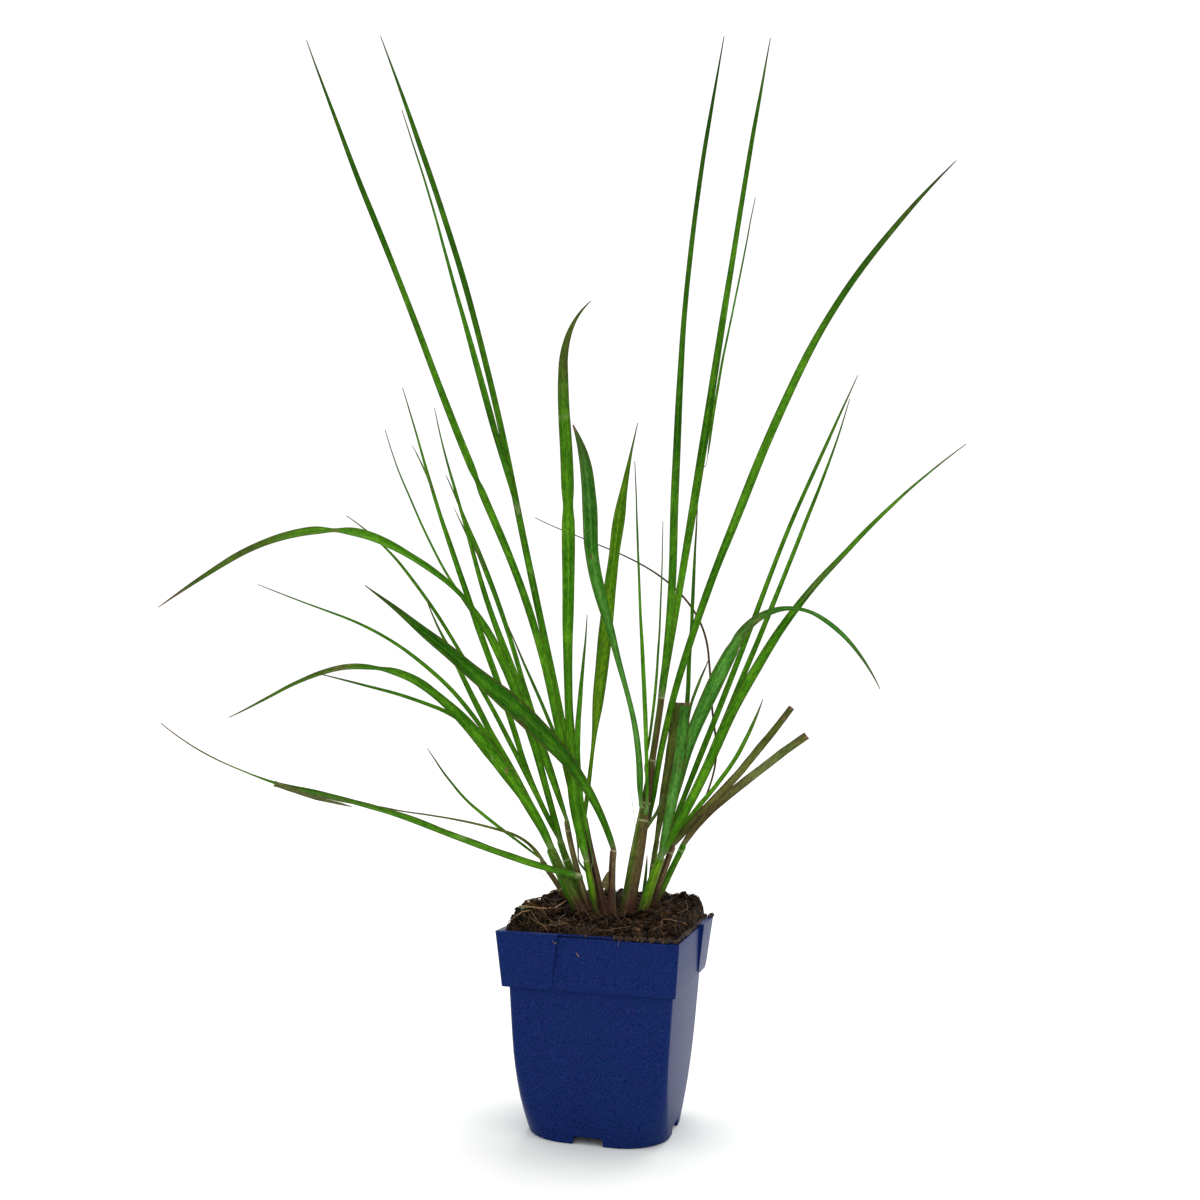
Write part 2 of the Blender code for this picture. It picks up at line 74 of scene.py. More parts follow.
# Pot
POT_HEIGHT = 122
RIM_HALF = 55.5
COLLAR_HEIGHT = 32
COLLAR_TAPER = 2
COLLAR_CORNER = 2.5
BODY_TOP_HALF = 51
BODY_BEND_HALF = 46.2
BODY_BEND_HEIGHT = 22
BODY_BOTTOM_HALF = 44.2
BODY_CORNER = 5
BODY_BOTTOM_CORNER = 30
BODY_ROUNDING_HEIGHT = 60
WALL = 1.7
FLOOR_UNDERSIDE = 5
FLOOR_TOP = 7.5
FOOT_WALL = 4
FOOT_ROUNDING = 0.8
NOTCH_WIDTH = 19
NOTCH_HEIGHT = 4.8
PANEL_PROUD = 2.6
PANEL_TAPER = 3.8
PANEL_CORNER = 3
PANEL_TOP_REACH = 40
PANEL_BOTTOM_REACH = 36.5
FRONT_PANEL_BOTTOM = 90
BACK_PANEL_BOTTOM = 92
PANEL_ROUNDING = 4
OUTER_LIP = 121.5
INNER_LIP_RISE = 1.7
CORNER_STEPS = 10

# Soil
SOIL_HEIGHT = 129.7
SOIL_SLOPE = 0.15
CLOD_CENTRE = (-51, -26)
CLOD_HEIGHT = 12
CLOD_REACH = (13, 27)
SOIL_EDGE = 121.6  # where the soil meets the wall
SOIL_SHOULDER = 1.4  # how far in from the wall it has come up most of the way
MOUTH_HALF = RIM_HALF - 2.4

# Plant
CAMERA_SIDE = -75.5
ROOT_LIFT = 1.3
STATION = 3.0  # between the stations along a blade
HALF_ACROSS = 5  # points from the midrib to an edge
NECK = 10  # how far a blade's sheath runs down its stem
SHORT_NECKS = {"blade_left_trailing": 3, "blade_centre_bent": 3, "blade_right_sweeping": 4}
STEM_STATION = 0.6
STEM_SIDES = 28

GREEN = "leaf_green"
DARK = "leaf_dark_green"
YELLOW = "leaf_yellow_green"
OLIVE = "leaf_olive"
BLUISH = "leaf_bluish_green"
BROWN = "leaf_brown"
PURPLE = "stem_purple_brown"
TAN = "stem_tan"

# A stem leans from the upright towards its heading, by the angles listed from its foot to its
# top. Its widths are listed the same way.
Stem = namedtuple("Stem", "name foot heading leans length widths colour")
# A blade grows from a stem or another blade, at a share of the way up it, on the side given
# and at a reach from its middle. Turn and tilt say which way the flat side looks, from the
# camera's side and from the level. Twist is how far it has turned by the tip.
Blade = namedtuple(
    "Blade", "name parent share side reach heading leans length widths turn tilt twist colour"
)

STEMS = [
    Stem("stem_left_outer", (-29.5, 13), 185, (39, 38, 37), 33,
         (4, 3.5, 3), TAN),
    Stem("stem_left_front", (-19.5, -2.5), 195, (30, 27, 25), 43,
         (8.5, 7.5, 6), GREEN),
    Stem("stem_left_back", (-20, 12.5), 170, (30, 26, 23), 44,
         (6, 5.5, 4.5), GREEN),
    Stem("stem_left_thin", (-13.5, 1), 190, (21, 17, 11), 59,
         (4.5, 3.5, 3.5), TAN),
    Stem("stem_centre_green", (-8, -2), 200, (13, 13, 14), 34,
         (4.5, 4.5, 4), YELLOW),
    Stem("stem_centre_brown", (-2, -3), 150, (23, 20, 16), 63,
         (5, 4.5, 3.5), PURPLE),
    Stem("stem_stub", (3, -4.5), 20, (-5, -1, 4), 41,
         (5, 4.5, 4), PURPLE),
    Stem("stem_main", (11, -1), 20, (10, 9, 8, 8, 7), 140,
         (9, 8.5, 8.5, 7.5, 6, 4.5, 4, 4, 4), OLIVE),
    Stem("stem_right_front", (20.5, 3), -10, (16, 19, 22), 38,
         (6.5, 6, 5), YELLOW),
    Stem("stem_right_back", (21, 24.5), 60, (0, 8, 16), 42,
         (4, 3.5, 3.5), OLIVE),
    Stem("stem_right_brown", (23.5, 15), 10, (18, 19, 20), 42,
         (4.5, 4, 4), PURPLE),
    Stem("stem_right_outer", (25, 27), 48, (27, 31, 34), 42,
         (4, 4, 4), GREEN),
]

BLADES = [
    Blade("blade_tall_far_left", "stem_centre_green", 1, 105, 2.2, 215,
          (15, 14, 27, 23, 25, 22), 555,
          (4, 5, 5, 5, 4, 3.5, 0.6), 15, 10, 40, GREEN),
    Blade("blade_tall_left", "stem_centre_green", 1, 105, 3.8, 165,
          (12, 16, 15, 19, 23, 24), 660,
          (3.5, 5, 5, 4.5, 4.5, 4, 0.7), -20, 10, -30, GREEN),
    Blade("blade_tall_left_side", "blade_tall_left", 0.375, -75, 1.6, 195,
          (18, 17, 17, 20), 305,
          (3, 4.5, 4.5, 3, 2, 1.5, 0.6), 10, 10, 20, DARK),
    Blade("blade_centre_broad", "stem_centre_green", 1, -75, 1, 40,
          (-18, -6, -3, -1, -2, -5, -2, 44), 378,
          (4.5, 8, 7, 5.5, 6.5, 8, 9, 9, 8.5, 7.5, 4.5, 0.7), 10, 5, 25, GREEN),
    Blade("blade_centre_bent", "stem_main", 0.5, 225, 4.2, 212,
          (-2, 8, 17, 18, 17, 2, 8, 27), 253,
          (4.5, 4.5, 4, 3.5, 4, 5.5, 8, 9, 10, 9.5, 7, 1), -15, 10, -10, BLUISH),
    Blade("blade_centre_back", "stem_centre_brown", 1, 105, 0, 55,
          (8, 6, 7, 6, 12, 14), 276,
          (3, 3, 3, 7.5, 9, 9.5, 8.5, 7.5, 8.5, 5, 2, 0.6), 10, 10, 10, YELLOW),
    Blade("blade_centre_short", "stem_centre_green", 1, 20, 4.2, 60,
          (-19, -15, 1, 7, 2), 160,
          (2, 2.5, 4, 3.5, 2, 0.5), 20, 5, 10, DARK),
    Blade("blade_centre_narrow", "stem_main", 0.5, -60, 3.9, 20,
          (-1, -4, -3, -4), 226,
          (2, 3, 3, 2, 1.5, 0.7), -20, 5, 20, GREEN),
    Blade("blade_centre_thin", "stem_main", 0.69, 180, 4.2, 60,
          (13, 3, 0), 164,
          (1.5, 2, 1.5, 1, 0.5), 10, 5, 10, GREEN),
    Blade("blade_tall_right", "stem_main", 1, -75, 1.2, 50,
          (8, 1, 2, 6, 10, 11), 480,
          (5, 5.5, 5.5, 4, 3.5, 3, 0.6), 15, 5, 30, DARK),
    Blade("blade_tall_far_right", "stem_main", 1, 90, 1.6, 60,
          (13, 12, 12, 14), 523,
          (3.5, 5, 6, 5, 4, 3.5, 0.7), -15, 5, -35, GREEN),
    Blade("blade_tall_right_side", "blade_tall_far_right", 0.31, 10, 4.4, 52,
          (8, 14, 13), 212,
          (1.5, 2, 1.5, 1.3, 0.6), 10, 5, 10, DARK),
    Blade("blade_right_sweeping", "stem_main", 0.43, 35, 5.4, 39,
          (6, 18, 23, 24, 32, 40, 44), 579,
          (4, 4.5, 5.5, 6.5, 6, 5, 4, 0.7), -15, 15, -20, GREEN),
    Blade("blade_right_high", "stem_right_front", 1, 105, 2.6, 50,
          (27, 27, 25, 30, 30), 399,
          (3, 4, 4, 3.5, 3, 2.5, 0.6), 10, 15, 20, GREEN),
    Blade("blade_right_middle", "stem_right_front", 1, 105, 1.2, 42,
          (32, 26, 25, 25, 19), 359,
          (2.5, 3.5, 4, 3.5, 3, 2, 0.6), -20, 15, -20, GREEN),
    Blade("blade_right_long", "stem_right_front", 1, -75, 0.3, 34,
          (32, 25, 34, 44, 48, 54), 382,
          (5, 6.5, 7, 6, 4.5, 3.5, 2, 0.7), 15, 25, 15, GREEN),
    Blade("blade_right_drooping", "stem_right_front", 1, -75, 1.7, -4,
          (8, 13, 16, 24, 25, 30, 74, 122, 142, 156), 266,
          (4, 5.5, 7.5, 8, 9.5, 10, 7.5, 5, 2.5, 3, 2, 0.5), -10, 15, -15, BLUISH),
    Blade("blade_cut_olive", "stem_right_back", 1, -75, 0, 40,
          (9, 9), 92,
          (3.5, 5.5, 6, 7), 10, 5, 20, OLIVE),
    Blade("blade_cut_dark", "stem_right_front", 1, -75, 3.2, -35,
          (13, 15, 10, 4), 99,
          (3, 6.5, 8, 8, 7.5), -5, 5, -10, BLUISH),
    Blade("blade_right_upright", "stem_right_front", 1, 105, 4.2, 70,
          (34, 12, 4, 4, 6), 243,
          (2, 3.5, 3.5, 3, 2.5, 0.7), 10, 5, -20, DARK),
    Blade("blade_right_sliver", "blade_right_upright", 0.33, 14, 3.3, 20,
          (-8, 20, 23), 55,
          (2, 2, 2, 0.6), -10, 10, 10, DARK),
    Blade("blade_right_short", "stem_right_brown", 1, 105, 0.9, 25,
          (30, 42, 30, 20), 115,
          (3.5, 3.5, 3, 3, 2.5, 0.5), 10, 20, 10, GREEN),
    Blade("blade_cut_upper", "stem_right_brown", 1, -75, 0.9, -10,
          (40, 45, 40, 37), 120,
          (4, 5, 5, 4), -10, 15, -10, OLIVE),
    Blade("blade_cut_lower", "stem_right_outer", 1, -75, 0.4, 18,
          (31, 50, 52, 55), 113,
          (4, 6, 6, 5.5), 10, 25, 10, OLIVE),
    Blade("blade_curling_thread", "stem_right_outer", 1, 105, 2.2, 200,
          (-24, -27, -12, 10, 3, 6, 30, 50, 63, 70, 71, 65), 294,
          (1, 1.5, 1.5, 1.5, 1, 0.6), 0, 10, 0, BROWN),
    Blade("blade_left_drooping", "stem_left_back", 1, -75, 2.6, 224,
          (19, 19, 24, 33, 57, 73, 106, 127, 131), 388,
          (4.5, 5, 6, 6.5, 4.5, 6.5, 7.5, 5.5, 4, 0.5), 10, 40, 10, GREEN),
    Blade("blade_left_high", "stem_left_back", 1, -75, 1.2, 197,
          (30, 28, 31, 33, 40, 58), 265,
          (3, 3.5, 3, 2.5, 2, 0.6), -10, 20, 10, GREEN),
    Blade("blade_left_inner", "stem_left_front", 1, 105, 2, 186,
          (25, 31, 33, 28, 30, 23), 185,
          (3.5, 3.5, 4, 4, 2.5, 0.6), 10, 20, -10, GREEN),
    Blade("blade_left_level", "stem_left_front", 1, 105, 0.6, 208,
          (29, 32, 40, 56, 72, 70), 261,
          (2.5, 3, 3, 2.5, 1.5, 0.5), -10, 30, 10, GREEN),
    Blade("blade_left_bent", "stem_stub", 1, -75, 0, 226,
          (21, 35, 49, 54, 56, 56, 58), 238,
          (4, 5, 7, 10, 12.5, 11.5, 9, 7, 3.5, 0.5), -10, 25, 15, DARK),
    Blade("blade_left_arched", "stem_left_front", 1, -75, 2.4, 212,
          (25, 36, 40, 44, 55, 82, 108, 122, 117), 261,
          (5, 7, 9.5, 10, 7, 6.5, 5.5, 4, 2.5, 0.7), 10, 35, -10, GREEN),
    Blade("blade_left_under", "stem_left_front", 1, -75, 0.9, 209,
          (34, 34, 38, 71, 77, 78), 199,
          (3, 3, 3, 3, 2, 0.5), 10, 30, 10, GREEN),
    Blade("blade_left_trailing", "stem_left_thin", 0.4, -75, 4, 217,
          (78, 72, 68, 74, 78, 67, 51), 277,
          (4.5, 6.5, 6.5, 6, 5, 4.5, 4, 1.5, 1.2, 0.5), 10, 50, 10, GREEN),
    Blade("blade_left_trailing_thin", "stem_left_outer", 1, -75, 0.8, 206,
          (32, 74, 79, 82, 82, 78, 72), 183,
          (2.5, 2.5, 2, 1.5, 1.5, 2, 2, 3), 10, 45, 0, OLIVE),
    Blade("blade_left_short", "stem_left_outer", 1, 105, 0.8, 172,
          (58, 60, 56, 44, 36), 117,
          (1.5, 2, 2.5, 2, 1.5, 0.6), -10, 40, 0, GREEN),
    Blade("blade_left_upright_thin", "stem_left_back", 1, 105, 1.4, 168,
          (18, 21, 27, 41, 33, 28, 21), 338,
          (2.5, 2.5, 2.5, 2, 1.5, 0.6), -10, 20, -10, GREEN),
    Blade("blade_left_upright", "stem_left_back", 1, 105, 0, 190,
          (33, 19, 22, 21, 18, 19), 333,
          (3.5, 4, 4.5, 4.5, 3.5, 2, 0.6), 10, 15, -10, GREEN),
    Blade("blade_left_back", "stem_left_thin", 1, -75, 0.9, 152,
          (30, 28, 32, 23, 26, 19), 338,
          (2.5, 4.5, 5, 4, 3, 2, 0.6), -10, 15, 10, GREEN),
    Blade("blade_left_back_thin", "stem_left_thin", 1, 105, 0.9, 142,
          (30, 33, 29, 36, 37, 40), 311,
          (2.5, 3.5, 3.5, 3.5, 4, 2.5, 0.6), 10, 15, 10, GREEN),
    Blade("blade_left_behind", "stem_centre_green", 1, -160, 5.2, 150,
          (4, 18, 33, 35, 33), 174,
          (2, 2.5, 2.5, 2, 0.6), 10, 15, 10, DARK),
    Blade("blade_young_shoot", "soil", 0, 25, 21, 14,
          (4, 6, 1), 36,
          (1.5, 2.5, 2, 0.6), 0, 0, 0, DARK),
]



def heading_of(angle):
    """The level direction with this heading."""
    angle = np.radians(angle)
    return np.array([np.cos(angle), np.sin(angle), 0.0])


def unit(vectors):
    return vectors / np.linalg.norm(vectors, axis=-1, keepdims=True)


def ease(low, high, values):
    """0 below low, 1 above high and smooth between them."""
    part = np.clip((values - low) / (high - low), 0, 1)
    return part * part * (3 - 2 * part)


def bump_at(values, centre, width):
    """A smooth hump around the centre, 1 high."""
    return np.exp(-(((values - centre) / width) ** 2))


def smooth_along(values, share):
    """The listed values as one smooth line over these shares."""
    values = np.array(values, float)
    if len(values) < 3:
        return np.interp(share, np.linspace(0, 1, len(values)), values)
    slope = np.gradient(values)
    place = np.clip(share, 0, 1) * (len(values) - 1)
    low = np.minimum(place.astype(int), len(values) - 2)
    t = place - low
    line = (2 * t**3 - 3 * t**2 + 1) * values[low] + (t**3 - 2 * t**2 + t) * slope[low]
    line += (3 * t**2 - 2 * t**3) * values[low + 1] + (t**3 - t**2) * slope[low + 1]
    return np.maximum(line, values.min())


def seeded(name):
    """Random draws that depend on the piece's name alone."""
    return np.random.default_rng([ord(letter) for letter in name])


def wander(rng, share, knots, size):
    """A smooth random line between -size and size over these shares."""
    marks = rng.uniform(-size, size, knots + 1)
    place = np.clip(share, 0, 1) * knots
    low = np.minimum(place.astype(int), knots - 1)
    part = ease(0, 1, place - low)
    return marks[low] * (1 - part) + marks[low + 1] * part


RUFFLE_MARKS = {}


def ruffle(x, y, spacing, seed):
    """Smooth random heights between -1 and 1 over the plane, with this spacing between humps."""
    if seed not in RUFFLE_MARKS:
        RUFFLE_MARKS[seed] = np.random.default_rng(seed).uniform(-1, 1, (128, 128))
    marks = RUFFLE_MARKS[seed]
    column = x / spacing + 64
    row = y / spacing + 64
    i = np.floor(column).astype(int)
    j = np.floor(row).astype(int)
    a = ease(0, 1, column - i)
    b = ease(0, 1, row - j)
    i, j = i % 127, j % 127
    near = marks[i, j] * (1 - a) + marks[i + 1, j] * a
    far = marks[i, j + 1] * (1 - a) + marks[i + 1, j + 1] * a
    return near * (1 - b) + far * b


def course(root, heading, leans, length, count):
    """Stations of a shoot and its direction at each."""
    steps = 12 * (count - 1)
    share = (np.arange(steps) + 0.5) / steps
    lean = np.radians(np.interp(share, np.linspace(0, 1, len(leans)), leans))
    out = np.concatenate([[0], np.cumsum(np.sin(lean))])[::12] * length / steps
    rise = np.concatenate([[0], np.cumsum(np.cos(lean))])[::12] * length / steps
    way = heading_of(heading)
    upward = np.array([0.0, 0.0, 1.0])
    points = root + out[:, None] * way + rise[:, None] * upward
    lean = np.radians(np.interp(np.linspace(0, 1, count), np.linspace(0, 1, len(leans)), leans))
    return points, np.sin(lean)[:, None] * way + np.cos(lean)[:, None] * upward


def soil_height(x, y):
    """Height of the soil at a point of the pot."""
    across = (x - CLOD_CENTRE[0]) / CLOD_REACH[0]
    along_side = (y - CLOD_CENTRE[1]) / CLOD_REACH[1]
    return SOIL_HEIGHT + SOIL_SLOPE * y + CLOD_HEIGHT * np.exp(-(across**2) - along_side**2)


def stem_foot(stem):
    x, y = stem.foot
    low_side = stem.widths[0] / 2 * abs(np.sin(np.radians(stem.leans[0])))
    return np.array([x, y, soil_height(x, y) - SOIL_SUNK + low_side + 0.6])


def on_shoot(roots, shoot, share):
    """The point and direction at a share of the way up a shoot."""
    points, tangents = course(roots[shoot.name], shoot.heading, shoot.leans, shoot.length, 61)
    station = round(60 * share)
    return points[station], tangents[station]


def all_roots():
    """Each shoot's root by name."""
    roots = {stem.name: stem_foot(stem) for stem in STEMS}
    shoots = {stem.name: stem for stem in STEMS}
    for blade in BLADES:
        offset = blade.reach * heading_of(blade.side)
        if blade.parent == "soil":
            root = offset + [0, 0, soil_height(offset[0], offset[1]) - SOIL_SUNK + 0.7]
        else:
            root = on_shoot(roots, shoots[blade.parent], blade.share)[0] + offset
            root[2] += ROOT_LIFT if blade.share == 1 else 0
        roots[blade.name] = root
        shoots[blade.name] = blade
    return roots, shoots


def make_piece(name, points, faces, materials, looks=None, face_materials=None, smooth=True):
    """An object of this mesh. Looks are named values per point that its material reads."""
    mesh = bpy.data.meshes.new(name)
    mesh.from_pydata((np.asarray(points) * MM).tolist(), [], faces)
    for key, values in (looks or {}).items():
        layer = mesh.attributes.new(key, "FLOAT_VECTOR", "POINT")
        layer.data.foreach_set("vector", np.asarray(values, np.float32).ravel())
    mesh.validate()
    for material in materials:
        mesh.materials.append(material)
    mesh.polygons.foreach_set("use_smooth", [smooth] * len(mesh.polygons))
    if face_materials is not None:
        mesh.polygons.foreach_set("material_index", face_materials)
    mesh.update()
    piece = bpy.data.objects.new(name, mesh)
    bpy.context.scene.collection.objects.link(piece)
    return piece


def tube_faces(count, sides, start=0, caps=True):
    """Faces of a closed tube through rings of points."""
    i, j = np.meshgrid(np.arange(count - 1), np.arange(sides), indexing="ij")
    a = start + i * sides + j
    b = start + i * sides + (j + 1) % sides
    faces = np.stack([a, b, b + sides, a + sides], axis=-1).reshape(-1, 4).tolist()
    if caps:
        last = start + (count - 1) * sides
        faces.append(list(range(start + sides - 1, start - 1, -1)))
        faces.append(list(range(last, last + sides)))
    return faces


class Nodes:
    """A material's node tree, written as nested calls."""

    def __init__(self, name):
        self.material = bpy.data.materials.new(name)
        self.material.use_nodes = True
        self.tree = self.material.node_tree
        self.shader = self.tree.nodes["Principled BSDF"]

    def put(self, socket, value):
        if isinstance(value, bpy.types.NodeSocket):
            self.tree.links.new(value, socket)
        elif isinstance(value, tuple) and len(value) == 3 and socket.type == "RGBA":
            socket.default_value = (*value, 1)
        else:
            socket.default_value = value

    def add(self, kind, inputs, output=0, **settings):
        node = self.tree.nodes.new("ShaderNode" + kind)
        for key, value in settings.items():
            setattr(node, key, value)
        for key, value in inputs.items():
            self.put(node.inputs[key], value)
        return node.outputs[output]

    def math(self, operation, *values):
        return self.add("Math", dict(enumerate(values)), operation=operation)

    def mix(self, share, first, second, blend="MIX"):
        inputs = {"Factor": share, 6: first, 7: second}
        return self.add("Mix", inputs, output=2, data_type="RGBA", blend_type=blend)

    def span(self, value, low, high, start=0.0, end=1.0):
        inputs = {"Value": value, 1: low, 2: high, 3: start, 4: end}
        return self.add("MapRange", inputs)

    def noise(self, vector, scale, detail=2.0, roughness=0.5):
        inputs = {"Vector": vector, "Scale": scale, "Detail": detail, "Roughness": roughness}
        return self.add("TexNoise", inputs)

    def stretched(self, vector, sizes):
        return self.add("VectorMath", {0: vector, 1: sizes}, operation="MULTIPLY")

    def attribute(self, name):
        return self.add("Attribute", {}, output="Vector", attribute_name=name)

    def parts(self, vector):
        self.add("SeparateXYZ", {"Vector": vector})
        return list(self.tree.nodes[-1].outputs)

    def place(self):
        return self.add("TexCoord", {}, output="Object")

    def finish(self, colour, roughness, height, depth, strength=0.5, **constants):
        bump = self.add("Bump", {"Strength": strength, "Distance": depth, "Height": height})
        self.put(self.shader.inputs["Base Color"], colour)
        self.put(self.shader.inputs["Roughness"], roughness)
        self.put(self.shader.inputs["Normal"], bump)
        for key, value in constants.items():
            self.put(self.shader.inputs[key.replace("_", " ")], value)
        return self.material


def plant_material(name, dark, main, light, gloss=0.42, ribbed=True):
    """Veined green tissue. It reads how brown, pale and purple each point is, and its tone. When ribbed it is lighter
    along the midrib, partly its paler colour and partly a painted highlight; on stems the purple, pale and tone also
    carry painted shade and painted light.
    """
    n = Nodes(name)
    grain = n.attribute("grain")
    across, share, tone = n.parts(n.attribute("place"))
    brown, pale, purple = n.parts(n.attribute("wear"))
    veins = n.noise(n.stretched(grain, (1.5, 1.5, 0.02)), 1.0, 2.0, 0.6)
    streaks = n.noise(n.stretched(grain, (0.45, 0.45, 0.014)), 1.0, 2.0)
    mottle = n.noise(n.stretched(grain, (0.75, 0.75, 0.3)), 1.0, 3.0, 0.65)
    freckles = n.noise(n.stretched(grain, (1.1, 1.1, 0.6)), 1.0, 2.0, 0.6)
    patches = n.noise(n.place(), 60.0, 3.0, 0.6)
    fine = n.noise(n.place(), 1400.0, 2.0, 0.6)
    colour = n.mix(n.span(veins, 0.36, 0.64), dark, main)
    colour = n.mix(n.span(streaks, 0.42, 0.68, 0.0, 0.85), colour, light)
    colour = n.mix(n.span(patches, 0.42, 0.62, 0.0, 0.6), colour, dark)
    colour = n.mix(n.span(patches, 0.45, 0.3, 0.0, 0.45), colour, light)
    if ribbed:
        # Lighter along the midrib: partly the midrib's paler colour, partly a painted highlight.
        edge = n.math("ABSOLUTE", across)
        rib = n.span(edge, 0.03, 0.14, 0.55, 0.0)
        colour = n.mix(rib, colour, light)
        margin = n.span(edge, 0.8, 0.97, 0.0, 0.6)
        colour = n.mix(margin, colour, MARGIN_TINT)
    colour = n.mix(n.span(freckles, 0.66, 0.74, 0.0, 0.55), colour, FRECKLE_TINT)
    redness = n.math("MULTIPLY", purple, n.span(veins, 0.3, 0.6, 0.5, 1.0))
    colour = n.mix(redness, colour, PURPLE_TINT)
    pallor = n.math("MULTIPLY", pale, n.span(fine, 0.3, 0.6, 0.7, 1.0))
    colour = n.mix(pallor, colour, PALE_TINT)
    dead = n.mix(n.span(veins, 0.35, 0.65), DEAD_DARK, DEAD_LIGHT)
    edge_of_brown = n.math("ADD", brown, n.span(mottle, 0.3, 0.7, -0.3, 0.3))
    colour = n.mix(n.span(edge_of_brown, 0.3, 0.7), colour, dead)
    shade = n.math("MULTIPLY", tone, n.span(mottle, 0.3, 0.7, 0.6, 1.4))
    colour = n.add("VectorMath", {0: colour, "Scale": shade}, operation="SCALE")
    height = n.math("ADD", n.math("MULTIPLY", veins, 1.4), n.math("MULTIPLY", fine, 0.5))
    roughness = n.span(mottle, 0.3, 0.7, gloss - 0.06, gloss + 0.1)
    return n.finish(colour, roughness, height, 0.00035, 0.55, Specular_IOR_Level=LEAF_SPECULAR)


def pot_material():
    """Moulded plastic with a fine speckle, dust and soil stains, and painted shade in the groove behind the outer lip.
    """
    n = Nodes("pot_plastic")
    place = n.place()
    speckle = n.noise(place, 1400.0, 3.0, 0.8)
    colour = n.mix(n.span(speckle, 0.42, 0.58), (0.0012, 0.0092, 0.052), (0.0098, 0.0270, 0.145))
    tint = n.noise(place, 900.0, 2.0, 0.7)
    colour = n.mix(n.span(tint, 0.55, 0.66, 0.0, 0.65), colour, (0.021, 0.011, 0.108))
    cloud = n.noise(place, 28.0, 3.0)
    colour = n.mix(n.span(cloud, 0.45, 0.75, 0.0, 0.25), colour, (0.004, 0.026, 0.086))
    specks = n.add("TexVoronoi", {"Vector": place, "Scale": 170.0, "Randomness": 1.0})
    small = n.span(n.math("ADD", specks, n.span(cloud, 0.3, 0.6, 0.08, 0.0)), 0.085, 0.11, 1.0, 0.0)
    east, north, height = n.parts(place)
    near_rim = n.span(height, 0.02, 0.12, 0.15, 0.9)
    dusty_side = n.span(east, 0.044, 0.05, 0.35, 1.0)
    dirt = n.math("MULTIPLY", small, n.math("MULTIPLY", near_rim, dusty_side))
    colour = n.mix(dirt, colour, (0.022, 0.012, 0.007))
    # Painted shade: a dark band in the groove behind the outer lip, from 4 mm below the lip's top to just above it.
    outward = n.math("MAXIMUM", n.math("ABSOLUTE", east), n.math("ABSOLUTE", north))
    inside = n.span(outward, (RIM_HALF - 1.1) * MM, (RIM_HALF - 1.0) * MM, 1.0, 0.0)
    sunk = n.span(height, (OUTER_LIP + 0.45) * MM, (OUTER_LIP + 0.75) * MM, 1.0, 0.0)
    high = n.span(height, (OUTER_LIP - 4) * MM, (OUTER_LIP - 3) * MM)
    painted_groove_shade = n.math("MULTIPLY", inside, n.math("MULTIPLY", sunk, high))
    colour = n.mix(painted_groove_shade, colour, (0.0022, 0.0036, 0.016))
    relief = n.math("ADD", speckle, n.math("MULTIPLY", dirt, 1.5))
    roughness = n.span(speckle, 0.3, 0.7, 0.24, 0.34)
    return n.finish(colour, roughness, relief, 0.0002, 0.25, Specular_IOR_Level=POT_SPECULAR)


def soil_material(name, dark, main, light, grit=900.0):
    """Damp peat with crumbs and short fibres in it."""
    n = Nodes(name)
    place = n.place()
    tone = n.parts(n.attribute("place"))[2]
    moss, orange, _ = n.parts(n.attribute("wear"))
    lumps = n.noise(place, grit * 0.35, 4.0, 0.65)
    fine = n.noise(place, grit, 3.0, 0.7)
    threads = n.noise(n.stretched(place, (500.0, 90.0, 220.0)), 1.0, 3.0, 0.7)
    colour = n.mix(n.span(lumps, 0.42, 0.6), dark, main)
    colour = n.mix(n.span(fine, 0.55, 0.7, 0.0, 0.8), colour, light)
    colour = n.mix(n.span(threads, 0.58, 0.68, 0.0, 0.7), colour, light)
    colour = n.mix(n.math("MULTIPLY", moss, n.span(fine, 0.35, 0.55)), colour, MOSS_TINT)
    colour = n.mix(n.math("MULTIPLY", orange, n.span(fine, 0.4, 0.6)), colour, RUST_TINT)
    colour = n.add("VectorMath", {0: colour, "Scale": tone}, operation="SCALE")
    height = n.math("ADD", lumps, n.math("MULTIPLY", fine, 0.6))
    roughness = n.span(fine, 0.3, 0.7, 0.75, 0.98)
    return n.finish(colour, roughness, height, 0.0014, 0.9, Specular_IOR_Level=0.08)


def fibre_material(name, dark, main, light):
    """Dry plant fibre, streaked along and across."""
    n = Nodes(name)
    place = n.place()
    tone = n.parts(n.attribute("place"))[2]
    bands = n.noise(place, 260.0, 3.0, 0.6)
    fine = n.noise(place, 2400.0, 2.0, 0.6)
    colour = n.mix(n.span(bands, 0.35, 0.65), dark, main)
    colour = n.mix(n.span(fine, 0.5, 0.75, 0.0, 0.7), colour, light)
    colour = n.add("VectorMath", {0: colour, "Scale": tone}, operation="SCALE")
    roughness = n.span(fine, 0.3, 0.7, 0.5, 0.75)
    return n.finish(colour, roughness, fine, 0.0002, 0.5, Specular_IOR_Level=0.3)


def floor_material():
    n = Nodes("studio_floor")
    cloud = n.noise(n.place(), 3.0, 2.0)
    colour = n.mix(n.span(cloud, 0.3, 0.7), (0.925, 0.935, 0.915), (0.94, 0.95, 0.93))
    return n.finish(colour, 0.9, cloud, 0.0001, 0.05, Specular_IOR_Level=0.1)


MARGIN_TINT = (0.110, 0.100, 0.018)
PURPLE_TINT = (0.085, 0.034, 0.026)
PALE_TINT = (0.420, 0.440, 0.230)
DEAD_DARK = (0.075, 0.036, 0.022)
DEAD_LIGHT = (0.270, 0.165, 0.085)
FRECKLE_TINT = (0.090, 0.075, 0.012)
MOSS_TINT = (0.012, 0.034, 0.006)
RUST_TINT = (0.280, 0.125, 0.022)
LEAF_SPECULAR = 0.04
POT_SPECULAR = 0.02
SOIL_SUNK = 1.4  # a shoot's root is reckoned from this far below the loose surface

